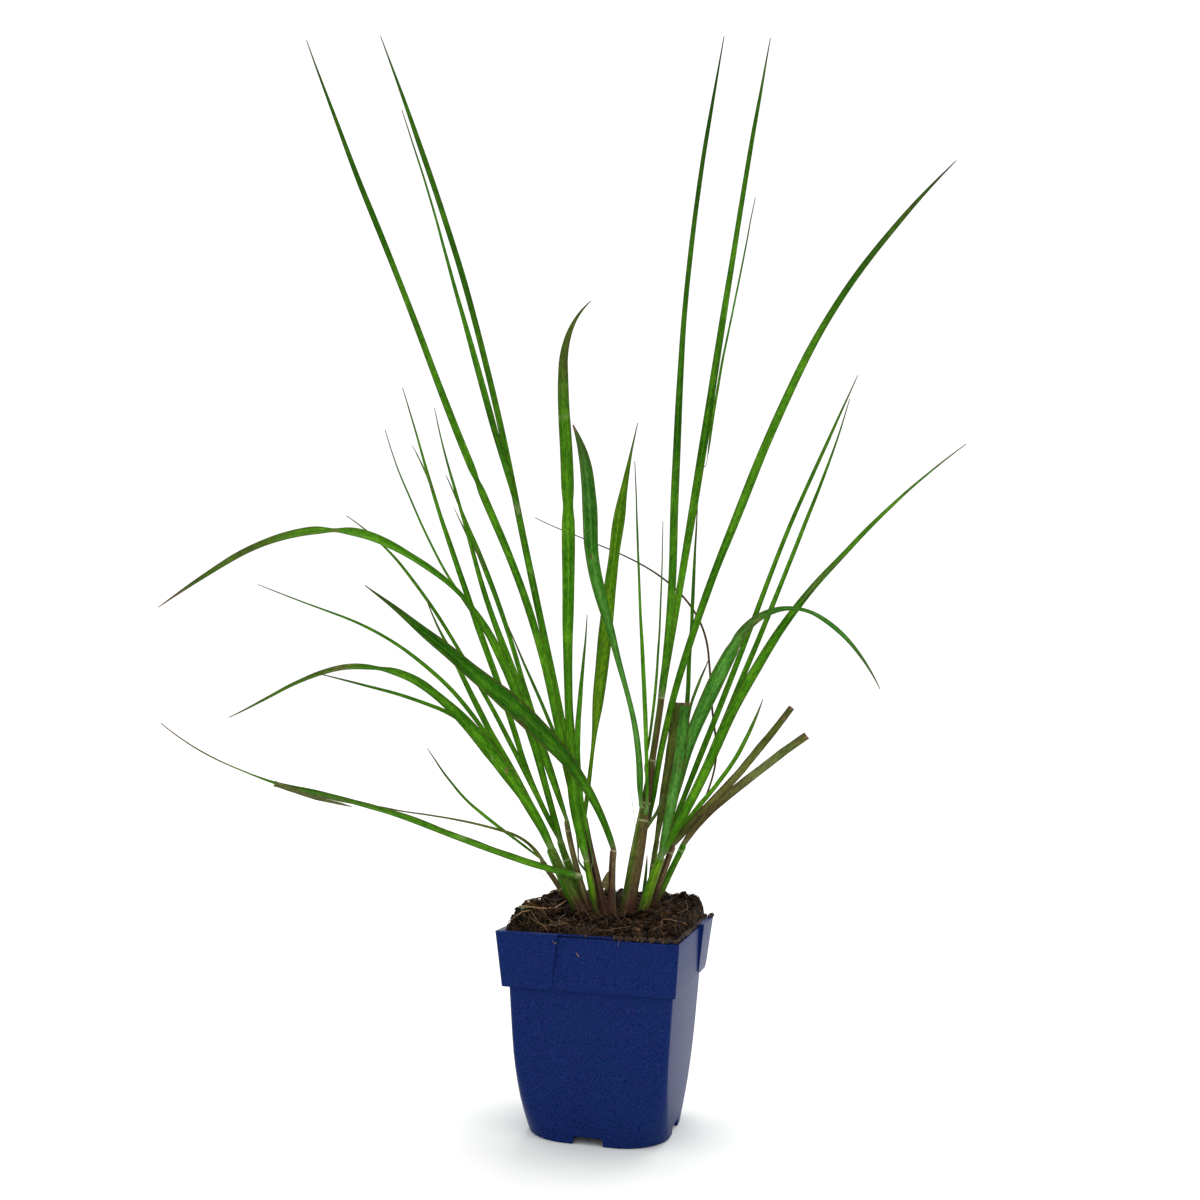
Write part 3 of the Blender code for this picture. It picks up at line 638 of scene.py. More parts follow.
# Darker, main and lighter tissue of each finish
TISSUE = {
    GREEN: ((0.019, 0.104, 0.001), (0.039, 0.178, 0.002), (0.097, 0.278, 0.010)),
    DARK: ((0.011, 0.077, 0.001), (0.027, 0.139, 0.002), (0.067, 0.213, 0.008)),
    YELLOW: ((0.039, 0.141, 0.002), (0.078, 0.223, 0.004), (0.170, 0.338, 0.013)),
    OLIVE: ((0.035, 0.065, 0.006), (0.069, 0.110, 0.010), (0.144, 0.189, 0.032)),
    BLUISH: ((0.018, 0.109, 0.005), (0.040, 0.180, 0.013), (0.099, 0.278, 0.045)),
    BROWN: ((0.021, 0.013, 0.005), (0.057, 0.032, 0.016), (0.123, 0.077, 0.041)),
    PURPLE: ((0.028, 0.014, 0.007), (0.074, 0.042, 0.021), (0.175, 0.122, 0.060)),
    TAN: ((0.065, 0.059, 0.009), (0.145, 0.134, 0.029), (0.282, 0.251, 0.097)),
}

# Wear of single blades: which kind, at what share of the length and where across it (None is
# the whole width), how far it reaches along in millimetres, and how strong it is. The kind tone
# is darker, or lighter where its strength is below nothing.
MARKS = {
    "blade_centre_broad": [("pale", 0.765, None, 0.8, 0.9), ("brown", 0.772, 0.1, 1.5, 0.9),
                           ("purple", 0.88, None, 30, 0.55), ("pale", 0.5, 0.45, 1.1, 0.3)],
    "blade_centre_bent": [("brown", 0.65, -0.2, 1.2, 1.0), ("tone", 0.8, None, 30, 0.18),
                          ("pale", 0.55, 0.0, 1.0, 0.5)],
    "blade_centre_back": [("brown", 0.42, -0.3, 0.9, 1.1), ("tone", 0.5, None, 25, -0.1)],
    "blade_tall_right": [("tone", 0.8, None, 190, 0.3)],
    "blade_tall_far_right": [("tone", 0.8, None, 190, 0.25)],
    "blade_right_sweeping": [("tone", 0.9, None, 200, 0.3), ("purple", 0.9, None, 70, 0.4)],
    "blade_right_middle": [("tone", 0.8, None, 120, 0.15)],
    "blade_left_high": [("tone", 0.5, None, 90, 0.15)],
    "blade_tall_left": [("tone", 0.75, None, 200, 0.25), ("pale", 0.37, None, 0.9, 0.7), ("pale", 0.295, 0.2, 1.1, 0.6),
                        ("pale", 0.28, -0.3, 0.8, 0.5)],
    "blade_tall_far_left": [("tone", 0.85, None, 200, 0.3), ("pale", 0.05, 0.0, 12, 0.35), ("tone", 0.46, None, 5, 0.25)],
    "blade_tall_left_side": [("tone", 0.2, None, 30, 0.25)],
    "blade_left_arched": [("brown", 0.22, 0.3, 1.6, 0.9), ("pale", 0.27, -0.3, 0.9, 0.6),
                          ("brown", 0.72, None, 14, 0.45), ("purple", 0.8, None, 25, 0.4)],
    "blade_left_bent": [("tone", 0.35, None, 40, 0.15), ("purple", 0.45, -0.9, 4, 0.6)],
    "blade_left_drooping": [("brown", 0.7, None, 5, 0.45), ("purple", 0.85, None, 40, 0.5),
                            ("brown", 0.97, None, 8, 0.7)],
    "blade_left_trailing": [("pale", 0.0, None, 1.4, 0.9), ("pale", 0.05, 0.2, 1.0, 0.5),
                            ("pale", 0.3, 0.5, 2.0, 0.3), ("tone", 0.62, None, 22, -0.25),
                            ("purple", 0.6, None, 30, 0.25), ("pale", 0.84, None, 16, 0.3),
                            ("brown", 0.85, None, 20, 0.35), ("brown", 0.95, None, 9, 1.0)],
    "blade_left_trailing_thin": [("brown", 0.09, None, 1.6, 0.8), ("purple", 0.5, None, 60, 0.4)],
    "blade_right_drooping": [("brown", 0.54, 0.9, 1.6, 0.9), ("brown", 0.62, 0.5, 5, 0.4),
                             ("purple", 0.6, None, 14, 0.35)],
    "blade_right_long": [("tone", 0.3, None, 50, -0.12)],
    "blade_cut_upper": [("purple", 0.35, None, 50, 0.5), ("brown", 0.93, None, 5, 0.5)],
    "blade_cut_lower": [("purple", 0.2, None, 45, 0.75), ("pale", 0.7, None, 30, 0.15),
                        ("brown", 0.94, None, 5, 0.5)],
    "blade_cut_olive": [("purple", 0.5, None, 40, 0.25)],
    "blade_cut_dark": [("purple", 0.6, 0.3, 3, 0.5)],
}

# Reddish brown edges of single blades, by how strong they are
EDGED = {
    "blade_cut_olive": 0.7,
    "blade_cut_dark": 0.3,
    "blade_cut_upper": 0.7,
    "blade_cut_lower": 0.4,
    "blade_left_bent": 0.45,
    "blade_left_trailing": 0.35,
    "blade_right_drooping": 0.3,
    "blade_right_long": 0.3,
}

# Where a blade is pinched: at what share, by what part of its width and how far along
PINCHES = {
    "blade_centre_broad": [(0.61, 0.22, 8)],
    "blade_tall_far_left": [(0.46, 0.35, 5)],
    "blade_left_drooping": [(0.7, 0.5, 7)],
    "blade_left_arched": [(0.63, 0.4, 6)],
    "blade_right_drooping": [(0.54, 0.22, 1.6)],
}


def blade_frame(blade, roots, shoots):
    """Stations, directions, sides and half arcs of a blade with the sheath under it."""
    root = roots[blade.name]
    count = max(20, round(blade.length / STATION))
    points, tangents = course(root, blade.heading, blade.leans, blade.length, count)
    distance = np.linspace(0, blade.length, count)
    width = smooth_along(blade.widths, distance / blade.length)
    look = heading_of(CAMERA_SIDE + blade.turn) * np.cos(np.radians(blade.tilt))
    look[2] = np.sin(np.radians(blade.tilt))
    arc = np.full(count, 0.30)
    steps = 7
    if blade.parent == "soil":
        below = np.linspace(-5, 0, steps)[:-1]
        points = np.vstack([root + below[:, None] * tangents[0], points])
        tangents = np.vstack([np.repeat(tangents[:1], steps - 1, axis=0), tangents])
        width = np.concatenate([np.full(steps - 1, width[0]), width])
        facing = np.repeat(look[None], len(points), axis=0)
        arc = np.full(len(points), 0.6)
        distance = np.concatenate([below, distance])
    else:
        parent = shoots[blade.parent]
        joint, upward = on_shoot(roots, parent, blade.share)
        is_stem = parent.name.startswith("stem")
        radius = np.interp(blade.share, np.linspace(0, 1, len(parent.widths)), parent.widths)
        radius = radius / 2 if is_stem else 0.8
        outward = heading_of(blade.side)
        outward = unit(outward - upward * (outward @ upward))
        back = SHORT_NECKS.get(blade.name, NECK) if is_stem else 5
        start = joint - upward * back + outward * radius * (0.45 if blade.share == 1 else 1.0)
        span = np.linalg.norm(root - start)
        t = np.linspace(0, 1, steps)[:-1, None]
        neck = (2 * t**3 - 3 * t**2 + 1) * start + (t**3 - 2 * t**2 + t) * span * upward
        neck += (3 * t**2 - 2 * t**3) * root + (t**3 - t**2) * span * tangents[0]
        points = np.vstack([neck, points])
        tangents = np.vstack([unit(np.gradient(points[: steps + 1], axis=0))[: steps - 1], tangents])
        faces_camera = 1 if outward @ look > 0 else -1
        below = np.linspace(-span, 0, steps)[:-1]
        distance = np.concatenate([below, distance])
        blend = ease(-0.3 * span, 22, distance)[:, None]
        facing = unit((1 - blend) * outward * faces_camera + blend * look)
        hug = 1.0 if is_stem else 0.7
        opened = ease(-5, 16, distance)
        arc = -faces_camera * hug * (1 - opened) + 0.30 * opened
        wide = 2 * hug * (radius + 0.25)
        width = np.concatenate([np.full(steps - 1, width[0]), width])
        sheath = 1 - ease(-span, 4, distance)
        width = width * (1 - sheath) + np.maximum(width, wide) * sheath
    share = np.clip(distance / blade.length, 0, 1)
    flat = unit(np.cross(tangents, facing))
    rng = seeded(blade.name)
    twist = np.radians(blade.twist * share + wander(rng, share, 9, 7) * ease(10, 60, distance))
    twist = twist[:, None]
    across = flat * np.cos(twist) + np.cross(flat, tangents) * np.sin(twist)
    front = np.cross(across, tangents)
    free = ease(15, 80, distance)[:, None]
    points = points + front * wander(rng, share, 11, 0.35)[:, None] * free
    points = points + across * wander(rng, share, 11, 0.25)[:, None] * free
    width = width * (1 + wander(rng, share, 17, 0.03))
    for at, depth, reach in PINCHES.get(blade.name, []):
        width = width * (1 - depth * bump_at(distance, at * blade.length, reach))
    return points, across, front, width, arc, distance, share, rng


def make_blade(blade, roots, shoots, materials):
    """A thin leaf with a crease along its midrib, rolled into a sheath where it leaves its stem."""
    points, across, front, width, arc, distance, share, rng = blade_frame(blade, roots, shoots)
    count = len(points)
    u = np.sin(np.linspace(-np.pi / 2, np.pi / 2, 2 * HALF_ACROSS + 1))
    u = 0.5 * u + 0.5 * np.linspace(-1, 1, 2 * HALF_ACROSS + 1)
    w = width[:, None]
    bend = np.where(np.abs(arc) < 0.02, 0.02, arc)[:, None]
    side = w / (2 * bend) * np.sin(bend * u)
    lift = w / (2 * bend) * (1 - np.cos(bend * u))
    crease = 0.11 * w * ease(0, 25, distance)[:, None]
    lift = lift + crease * (np.sqrt(u**2 + 0.012) - 0.11)
    ripple = wander(rng, share, 23, 0.035)[:, None] * u + wander(rng, share, 31, 0.02)[:, None]
    lift = lift + ripple * w * np.abs(u) * ease(15, 60, distance)[:, None]
    lift = lift - 0.5 * lift[:, [0]] * ease(-5, 15, distance)[:, None]
    thick = np.minimum(0.5, 0.22 * w) * (1 - 0.6 * np.abs(u) ** 1.5)
    rib = np.minimum(0.32, 0.1 * w) * bump_at(u, 0, 0.13) * (1 - 0.8 * share[:, None])
    middle = points[:, None] + across[:, None] * side[..., None]
    upper = middle + front[:, None] * (lift + thick / 2)[..., None]
    lower = middle + front[:, None] * (lift - thick / 2 - rib)[..., None]
    ring = np.concatenate([upper, lower[:, -2:0:-1]], axis=1)
    ring_u = np.concatenate([u, u[-2:0:-1]])
    ring_side = np.concatenate([np.ones(len(u)), -np.ones(len(u) - 2)])
    sides = ring.shape[1]
    looks = blade_looks(blade, ring_u, ring_side, distance, share, rng)
    name = blade.name.replace("blade_", "leaf_")
    piece = make_piece(
        name, ring.reshape(-1, 3), tube_faces(count, sides), [materials[blade.colour]], looks
    )
    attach(piece, "root")
    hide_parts(blade.name)
    return piece


def blade_looks(blade, ring_u, ring_side, distance, share, rng):
    """Where each point of a blade lies in its tissue, and how worn it is."""
    count, sides = len(share), len(ring_u)
    flat = np.ones((count, sides))
    u = ring_u * flat
    s = distance[:, None] * flat
    half = max(blade.widths) / 2
    grain = np.stack([u * half, ring_side * flat * 3, s], axis=-1)
    tone = 1 + rng.uniform(-0.1, 0.1) + wander(rng, share, 7, 0.12)[:, None]
    tone = tone + wander(rng, share, 5, 0.08)[:, None] * u
    tone = tone * (1 - 0.25 * ease(0.6, 1, share)[:, None])
    tone = tone * np.where(ring_side < 0, 1.08, 1.0)
    wear = {key: np.zeros((count, sides)) for key in ("brown", "pale", "purple", "tone")}
    tip = blade.length - s
    cut = blade.name in CUT_BLADES
    wear["brown"] += np.where(cut, ease(2.2, 0.6, tip), 0.9 * ease(9, 1, tip))
    wear["purple"] += 0.45 * ease(45, 5, tip) * (0 if cut else 1)
    wear["pale"] += 0.25 * bump_at(s, -1, 5)
    for kind, at, side, reach, strength in MARKS.get(blade.name, []):
        mark = strength * bump_at(s, at * blade.length, reach)
        if side is not None:
            mark = mark * bump_at((u - side) * half, 0, reach)
        wear[kind] += mark
    wear["purple"] += EDGED.get(blade.name, 0.12) * ease(0.6, 1, np.abs(u))
    tone = tone * (1 - wear.pop("tone"))
    return {
        "grain": grain.reshape(-1, 3),
        "place": np.stack([u, share[:, None] * flat, tone * flat], axis=-1).reshape(-1, 3),
        "wear": np.stack(list(wear.values()), axis=-1).reshape(-1, 3),
    }


CUT_BLADES = (
    "blade_cut_olive",
    "blade_cut_dark",
    "blade_cut_upper",
    "blade_cut_lower",
    "blade_left_trailing_thin",
)

# Each stem's rings by share, the heading of its purple or brown side, how strong that is, and
# how pale the rest. The purple or brown side is partly the stem's own colour and partly painted
# shade; the pale rest, on the side away from it, is partly painted light.
STEM_LOOKS = {
    "stem_left_outer": ((0.35, 0.8), 300, 0.35, 0.1),
    "stem_left_front": ((0.62,), 330, 0.5, 0.0),
    "stem_left_back": ((0.7,), 330, 0.4, 0.0),
    "stem_left_thin": ((0.9,), 0, 0.55, 0.1),
    "stem_centre_green": ((1.0,), 20, 0.55, 0.0),
    "stem_centre_brown": ((1.0,), 0, 0.4, 0.0),
    "stem_stub": ((1.0,), 200, 0.35, 0.15),
    "stem_main": ((0.43, 0.51, 0.705, 1.0), -20, 0.8, 0.0),
    "stem_right_front": ((0.995,), 10, 0.45, 0.0),
    "stem_right_back": ((0.6,), 0, 0.3, 0.0),
    "stem_right_brown": ((0.9,), 20, 0.35, 0.0),
    "stem_right_outer": ((0.9,), 20, 0.35, 0.0),
}


def make_stem(stem, roots, materials):
    """A round stem in its sheaths, with pale rings at its joints, fine ribs along it, painted shade on one side and at
    its foot, and painted light on the other side.
    """
    rings, purple_and_shaded_side, purple_and_shade_strength, pallor = STEM_LOOKS[stem.name]
    below, above = 6, 3
    whole = below + stem.length + above
    count = round(whole / STEM_STATION)
    distance = np.linspace(-below, stem.length + above, count)
    points, tangents = course(roots[stem.name], stem.heading, stem.leans, stem.length, 61)
    marks = np.linspace(0, stem.length, 61)
    inside = np.clip(distance, 0, stem.length)
    centre = np.stack([np.interp(inside, marks, points[:, k]) for k in range(3)], axis=1)
    way = unit(np.stack([np.interp(inside, marks, tangents[:, k]) for k in range(3)], axis=1))
    centre = centre + (distance - inside)[:, None] * way
    share = distance / stem.length
    rng = seeded(stem.name)
    radius = smooth_along(stem.widths, np.clip(share, 0, 1)) / 2
    radius = radius * (1 + wander(rng, share, 7, 0.03))
    for ring in rings:
        radius = radius + 0.16 * bump_at(distance, ring * stem.length, 0.5)
        radius = radius + 0.12 * (1 - ease(-1, 3, distance - ring * stem.length))
    radius = radius * (1 - 0.75 * ease(stem.length - 1, stem.length + above, distance))
    radius = radius * (1 + 0.12 * ease(4, -3, distance))
    side_ways = unit(np.cross([0.0, 1.0, 0.0], way))
    behind = np.cross(way, side_ways)
    turn = 2 * np.pi * np.arange(STEM_SIDES) / STEM_SIDES
    ribs = 1 + 0.018 * np.cos(7 * turn + 1) + 0.012 * np.cos(12 * turn)
    spread = radius[:, None] * ribs
    outward = np.cos(turn)[:, None] * side_ways[:, None] + np.sin(turn)[:, None] * behind[:, None]
    skin = centre[:, None] + spread[..., None] * outward
    flat = np.ones((count, STEM_SIDES))
    half = max(stem.widths) / 2
    grain = [np.cos(turn) * half * flat, np.sin(turn) * half * flat, distance[:, None] * flat]
    tone = 1 + wander(rng, share, 5, 0.15)[:, None] * flat
    # Darker towards the foot: painted shade where the stem meets the soil. The purple and brown added at the foot are
    # partly the stem's own colour and partly painted shade.
    tone = tone * (0.6 + 0.32 * ease(-2, 14, distance))[:, None]
    # Painted shade and light: a purple-brown side, partly the stem's own colour and partly painted shade, and a paler
    # opposite side that is partly painted light.
    facing = outward @ heading_of(purple_and_shaded_side)
    purple = purple_and_shade_strength * ease(-0.1, 0.7, facing) + 0.7 * ease(17, 0, distance)[:, None]
    pale = pallor * ease(0.2, 0.9, -facing)
    brown = 0.25 * ease(10, -1, distance)[:, None] * flat
    for ring in rings:
        pale = pale + 0.75 * bump_at(distance, ring * stem.length, 0.5)[:, None]
        brown = brown + 0.3 * bump_at(distance, ring * stem.length - 1.8, 1.0)[:, None]
    looks = {
        "grain": np.stack(grain, axis=-1).reshape(-1, 3),
        "place": np.stack([flat * 0.5, share[:, None] * flat, tone], axis=-1).reshape(-1, 3),
        "wear": np.stack([brown, pale, purple], axis=-1).reshape(-1, 3),
    }
    name = stem.name.replace("stem_", "culm_")
    faces = tube_faces(count, STEM_SIDES)
    piece = make_piece(name, skin.reshape(-1, 3), faces, [materials[stem.colour + "_culm"]], looks)
    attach(piece, "root")
    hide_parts(stem.name)
    return piece


def rounded_square(half, corner, height):
    """A ring of points around a square with rounded corners."""
    points = []
    for quarter in range(4):
        start = np.pi / 2 * quarter
        middle = (half - corner) * np.sqrt(2) * np.array(
            [np.cos(start + np.pi / 4), np.sin(start + np.pi / 4)]
        )
        for step in range(CORNER_STEPS + 1):
            turn = start + np.pi / 2 * step / CORNER_STEPS
            x, y = middle + corner * np.array([np.cos(turn), np.sin(turn)])
            points.append((x, y, height))
    return np.array(points)


def body_half(height):
    """Half the body's width."""
    heights = (0, BODY_BEND_HEIGHT, POT_HEIGHT - COLLAR_HEIGHT)
    return np.interp(height, heights, (BODY_BOTTOM_HALF, BODY_BEND_HALF, BODY_TOP_HALF))


def body_corner(height):
    """Radius of the body's corners, wide at the foot."""
    rise = max(0, 1 - height / BODY_ROUNDING_HEIGHT)
    return BODY_CORNER + (BODY_BOTTOM_CORNER - BODY_CORNER) * rise**2


def wall_rings(heights, inset):
    """Rings of the body's wall, moved in from its outside."""
    return [
        rounded_square(body_half(h) - inset, max(2, body_corner(h) - inset), h) for h in heights
    ]


def part_of(name, points, faces):
    """A helper object for a Boolean, removed once it is used."""
    mesh = bpy.data.meshes.new(name)
    mesh.from_pydata((np.asarray(points) * MM).tolist(), [], faces)
    made = bpy.data.objects.new(name, mesh)
    bpy.context.scene.collection.objects.link(made)
    return made


def apply_boolean(made, other, operation):
    """Joins, cuts or crosses with the other object, which is then removed."""
    modifier = made.modifiers.new(operation, "BOOLEAN")
    modifier.operation = operation
    modifier.solver = "EXACT"
    modifier.object = other
    apply_modifiers(made)
    bpy.data.objects.remove(other)


def apply_modifiers(made):
    graph = bpy.context.evaluated_depsgraph_get()
    mesh = bpy.data.meshes.new_from_object(made.evaluated_get(graph))
    made.modifiers.clear()
    made.data = mesh


def make_panel(corner, bottom):
    """A thicker panel that wraps one corner of the collar."""
    top = OUTER_LIP + INNER_LIP_RISE - 0.05
    outside = RIM_HALF + PANEL_PROUD
    soft = 0.45
    foot = outside - PANEL_TAPER
    rings = [
        rounded_square(BODY_TOP_HALF - 0.1, COLLAR_CORNER, bottom),
        rounded_square(foot - soft, PANEL_CORNER - soft, bottom),
        rounded_square(foot - 0.13, PANEL_CORNER - 0.13, bottom + 0.13),
        rounded_square(foot, PANEL_CORNER, bottom + soft),
        rounded_square(outside, PANEL_CORNER, top - soft),
        rounded_square(outside - 0.13, PANEL_CORNER - 0.13, top - 0.13),
        rounded_square(outside - soft, PANEL_CORNER - soft, top),
        rounded_square(RIM_HALF - 2.2, COLLAR_CORNER, top),
    ]
    sides = len(rings[0])
    count = len(rings)
    faces = [
        (i * sides + j, i * sides + (j + 1) % sides, k * sides + (j + 1) % sides, k * sides + j)
        for i, k in [(i, (i + 1) % count) for i in range(count)]
        for j in range(sides)
    ]
    band = part_of("panel_band", np.concatenate(rings), faces)
    sections = []
    for share in (0, 0.06, 0.15, 0.3, 0.5, 0.75, 1):
        inset = PANEL_ROUNDING * (1 - np.sqrt(1 - (1 - share) ** 2))
        sections.append((bottom - 0.1 + PANEL_ROUNDING * share, PANEL_BOTTOM_REACH - inset))
    sections.append((POT_HEIGHT + 4, PANEL_TOP_REACH))
    far = outside + 5
    blocks = []
    for height, reach in sections:
        near = outside - reach
        square = [(near, near), (far, near), (far, far), (near, far)]
        blocks.append([(corner[0] * x, corner[1] * y, height) for x, y in square])
    blocks = np.array(blocks)
    extent = part_of("panel_extent", blocks.reshape(-1, 3), tube_faces(len(blocks), 4))
    apply_boolean(band, extent, "INTERSECT")
    return band


def make_pot(material):
    """The pot with rounded edges and a double lip around its mouth."""
    collar_foot = POT_HEIGHT - COLLAR_HEIGHT
    lip = OUTER_LIP
    inner = lip + INNER_LIP_RISE
    collar = [
        (RIM_HALF - COLLAR_TAPER - 0.5, collar_foot),
        (RIM_HALF - COLLAR_TAPER - 0.1, collar_foot + 0.15),
        (RIM_HALF - COLLAR_TAPER, collar_foot + 0.6),
        (RIM_HALF - 0.12, lip - 0.5),
        (RIM_HALF - 0.25, lip - 0.1),
        (RIM_HALF - 0.5, lip),
        (RIM_HALF - 0.8, lip),
        (RIM_HALF - 0.95, lip - 0.2),
        (RIM_HALF - 1.0, lip - 1.8),
        (RIM_HALF - 1.6, lip - 1.8),
        (RIM_HALF - 1.7, inner - 0.4),
        (RIM_HALF - 1.85, inner - 0.08),
        (RIM_HALF - 2.1, inner),
        (RIM_HALF - 2.35, inner - 0.08),
        (RIM_HALF - 2.5, inner - 0.4),
    ]
    heights = [0.35, 1, 2, 3.5, 5, 7.5, 10, 13, 17, 21, 22, 23, 26, 33, 42, 50, 60, 75, collar_foot]
    rings = [
        *wall_rings([FLOOR_UNDERSIDE, 0.3], FOOT_WALL),
        *wall_rings([0], FOOT_WALL - 0.3),
        *wall_rings([0], FOOT_ROUNDING),
        *wall_rings([0.1], 0.3),
        *wall_rings(heights, 0),
        *[rounded_square(half, max(0.5, COLLAR_CORNER + half - RIM_HALF), z) for half, z in collar],
        *wall_rings([collar_foot, 60, 42, 30, BODY_BEND_HEIGHT, 15, FLOOR_TOP], WALL),
    ]
    sides = len(rings[0])
    pot = part_of("pot_shell", np.concatenate(rings), tube_faces(len(rings), sides))
    for corner, bottom in (((-1, -1), FRONT_PANEL_BOTTOM), ((1, 1), BACK_PANEL_BOTTOM)):
        apply_boolean(pot, make_panel(corner, bottom), "UNION")
    for x, y in ((NOTCH_WIDTH, 120), (120, NOTCH_WIDTH)):
        slope = 0.6
        square = np.array([(-x, -y), (x, -y), (x, y), (-x, y)]) / 2
        low = np.column_stack([square + slope * np.sign(square), np.full(4, -NOTCH_HEIGHT)])
        high = np.column_stack([square - slope * np.sign(square), np.full(4, NOTCH_HEIGHT)])
        cutter = part_of("notch", np.concatenate([low, high]), tube_faces(2, 4))
        apply_boolean(pot, cutter, "DIFFERENCE")
    pot.data.materials.clear()
    pot.data.materials.append(material)
    for face in pot.data.polygons:
        face.material_index = 0
        face.use_smooth = True
    pot.data.set_sharp_from_angle(angle=np.radians(32))
    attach(pot, "root")
    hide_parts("pot")
    return pot


def loose_height(x, y):
    """Height of the crumbly surface of the soil, which comes up steeply from the wall."""
    x, y = np.asarray(x, float), np.asarray(y, float)
    rough = 1.0 * ruffle(x, y, 9, 1) + 1.6 * ruffle(x, y, 3.7, 2) + 1.1 * ruffle(x, y, 1.7, 3)
    inward = MOUTH_HALF - np.maximum(np.abs(x), np.abs(y))
    share = 1 - np.exp(-np.maximum(inward, 0) / SOIL_SHOULDER)
    spill = 2.0 * ease(0, 22, x) * ease(-30, -50, y)
    risen = soil_height(x, y) + rough - SOIL_EDGE
    return SOIL_EDGE + spill + risen * share + 0.45 * ruffle(x, y, 0.9, 4)


def moss_share(x, y):
    return np.exp(-((x + 45) ** 2 + (y + 35) ** 2) / 110)


def rust_share(x, y):
    return np.exp(-((x + 43) ** 2 + (y + 25) ** 2) / 22)


def ring_around(half, corner, height, count):
    """Evenly spaced points around a square with rounded corners."""
    square = rounded_square(half, corner, height)
    closed = np.vstack([square, square[:1]])
    walked = np.concatenate([[0], np.cumsum(np.linalg.norm(np.diff(closed, axis=0), axis=1))])
    places = np.linspace(0, walked[-1], count, endpoint=False)
    return np.stack([np.interp(places, walked, closed[:, k]) for k in range(3)], axis=1)


def soil_looks(x, y, tone):
    """How light, mossy and rusty the soil is at each point."""
    flat = np.zeros(len(x))
    return {
        "place": np.stack([flat, flat, tone], axis=1),
        "wear": np.stack([moss_share(x, y), rust_share(x, y), flat], axis=1),
    }


def make_soil(material):
    """The soil: a crumbly surface that slumps towards the pot's wall."""
    inset = WALL + 0.3
    around = 400
    rings = []
    for height in (FLOOR_TOP + 0.3, 15, BODY_BEND_HEIGHT, 30, 42, 60, POT_HEIGHT - COLLAR_HEIGHT):
        corner = max(2, body_corner(height) - inset)
        rings.append(ring_around(body_half(height) - inset, corner, height, around))
    inner = ring_around(MOUTH_HALF, 0.8, SOIL_EDGE - 3, around)
    rings.append(inner)
    for size in np.linspace(1, 0.01, 110):
        ring = inner * size
        push = 0.5 * ease(1, 0.97, size)
        ring[:, 0] += push * ruffle(inner[:, 0] * size, inner[:, 1] * size, 2.5, 5)
        ring[:, 1] += push * ruffle(inner[:, 0] * size, inner[:, 1] * size, 2.5, 6)
        ring[:, 2] = loose_height(ring[:, 0], ring[:, 1])
        rings.append(ring)
    points = np.concatenate(rings)
    x, y = points[:, 0], points[:, 1]
    tone = 0.42 + 0.3 * ruffle(x, y, 11, 11) + 0.4 * ruffle(x, y, 3.3, 12)
    looks = soil_looks(x, y, np.maximum(tone, 0.08))
    soil = make_piece("soil_surface", points, tube_faces(len(rings), around), [material], looks)
    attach(soil, "root")
    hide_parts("soil")
    return soil


def lump_form():
    """Corners and faces of a twenty-sided lump."""
    g = (1 + np.sqrt(5)) / 2
    corners = np.array(
        [(-1, g, 0), (1, g, 0), (-1, -g, 0), (1, -g, 0), (0, -1, g), (0, 1, g)]
        + [(0, -1, -g), (0, 1, -g), (g, 0, -1), (g, 0, 1), (-g, 0, -1), (-g, 0, 1)]
    ) / np.sqrt(1 + g * g)
    faces = [(0, 11, 5), (0, 5, 1), (0, 1, 7), (0, 7, 10), (0, 10, 11), (1, 5, 9), (5, 11, 4)]
    faces += [(11, 10, 2), (10, 7, 6), (7, 1, 8), (3, 9, 4), (3, 4, 2), (3, 2, 6), (3, 6, 8)]
    faces += [(3, 8, 9), (4, 9, 5), (2, 4, 11), (6, 2, 10), (8, 6, 7), (9, 8, 1)]
    return corners, np.array(faces)


def rounder(corners, faces):
    """The same lump with each face split in four."""
    points = [tuple(c) for c in corners]
    found = {}
    split = []

    def halfway(a, b):
        key = (min(a, b), max(a, b))
        if key not in found:
            found[key] = len(points)
            points.append(tuple(unit(np.array(points[a]) + np.array(points[b]))))
        return found[key]

    for a, b, c in faces:
        ab, bc, ca = halfway(a, b), halfway(b, c), halfway(c, a)
        split += [(a, ab, ca), (b, bc, ab), (c, ca, bc), (ab, bc, ca)]
    return np.array(points), np.array(split)


def on_soil(rng, count, margin=0.6):
    """Random places on the soil."""
    reach = MOUTH_HALF - margin
    x, y = rng.uniform(-reach, reach, (2, count))
    return x, y


def make_crumbs(name, rng, count, sizes, material, detail):
    """Loose crumbs of soil on the surface, each its own small uneven lump."""
    corners, faces = lump_form()
    if detail:
        corners, faces = rounder(corners, faces)
    x, y = on_soil(rng, count)
    size = sizes[0] * (sizes[1] / sizes[0]) ** (rng.random(count) ** 2.2)
    stretch = rng.uniform(0.6, 1.25, (count, 1, 3))
    shape = corners[None] * stretch * (1 + rng.uniform(-0.28, 0.28, (count, len(corners), 1)))
    turn = rng.uniform(0, 2 * np.pi, count)
    c, s = np.cos(turn)[:, None], np.sin(turn)[:, None]
    shape = np.stack(
        [
            c * shape[..., 0] - s * shape[..., 1],
            s * shape[..., 0] + c * shape[..., 1],
            shape[..., 2] * 0.85,
        ],
        axis=-1,
    )
    centre = np.stack([x, y, loose_height(x, y) + 0.35 * size], axis=1)
    points = centre[:, None] + shape * size[:, None, None]
    index = faces[None] + (np.arange(count) * len(corners))[:, None, None]
    tone = np.repeat(0.14 * 18 ** rng.random(count), len(corners))
    looks = soil_looks(np.repeat(x, len(corners)), np.repeat(y, len(corners)), tone)
    piece = make_piece(name, points.reshape(-1, 3), index.reshape(-1, 3).tolist(), [material], looks)
    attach(piece, "root")
    return piece


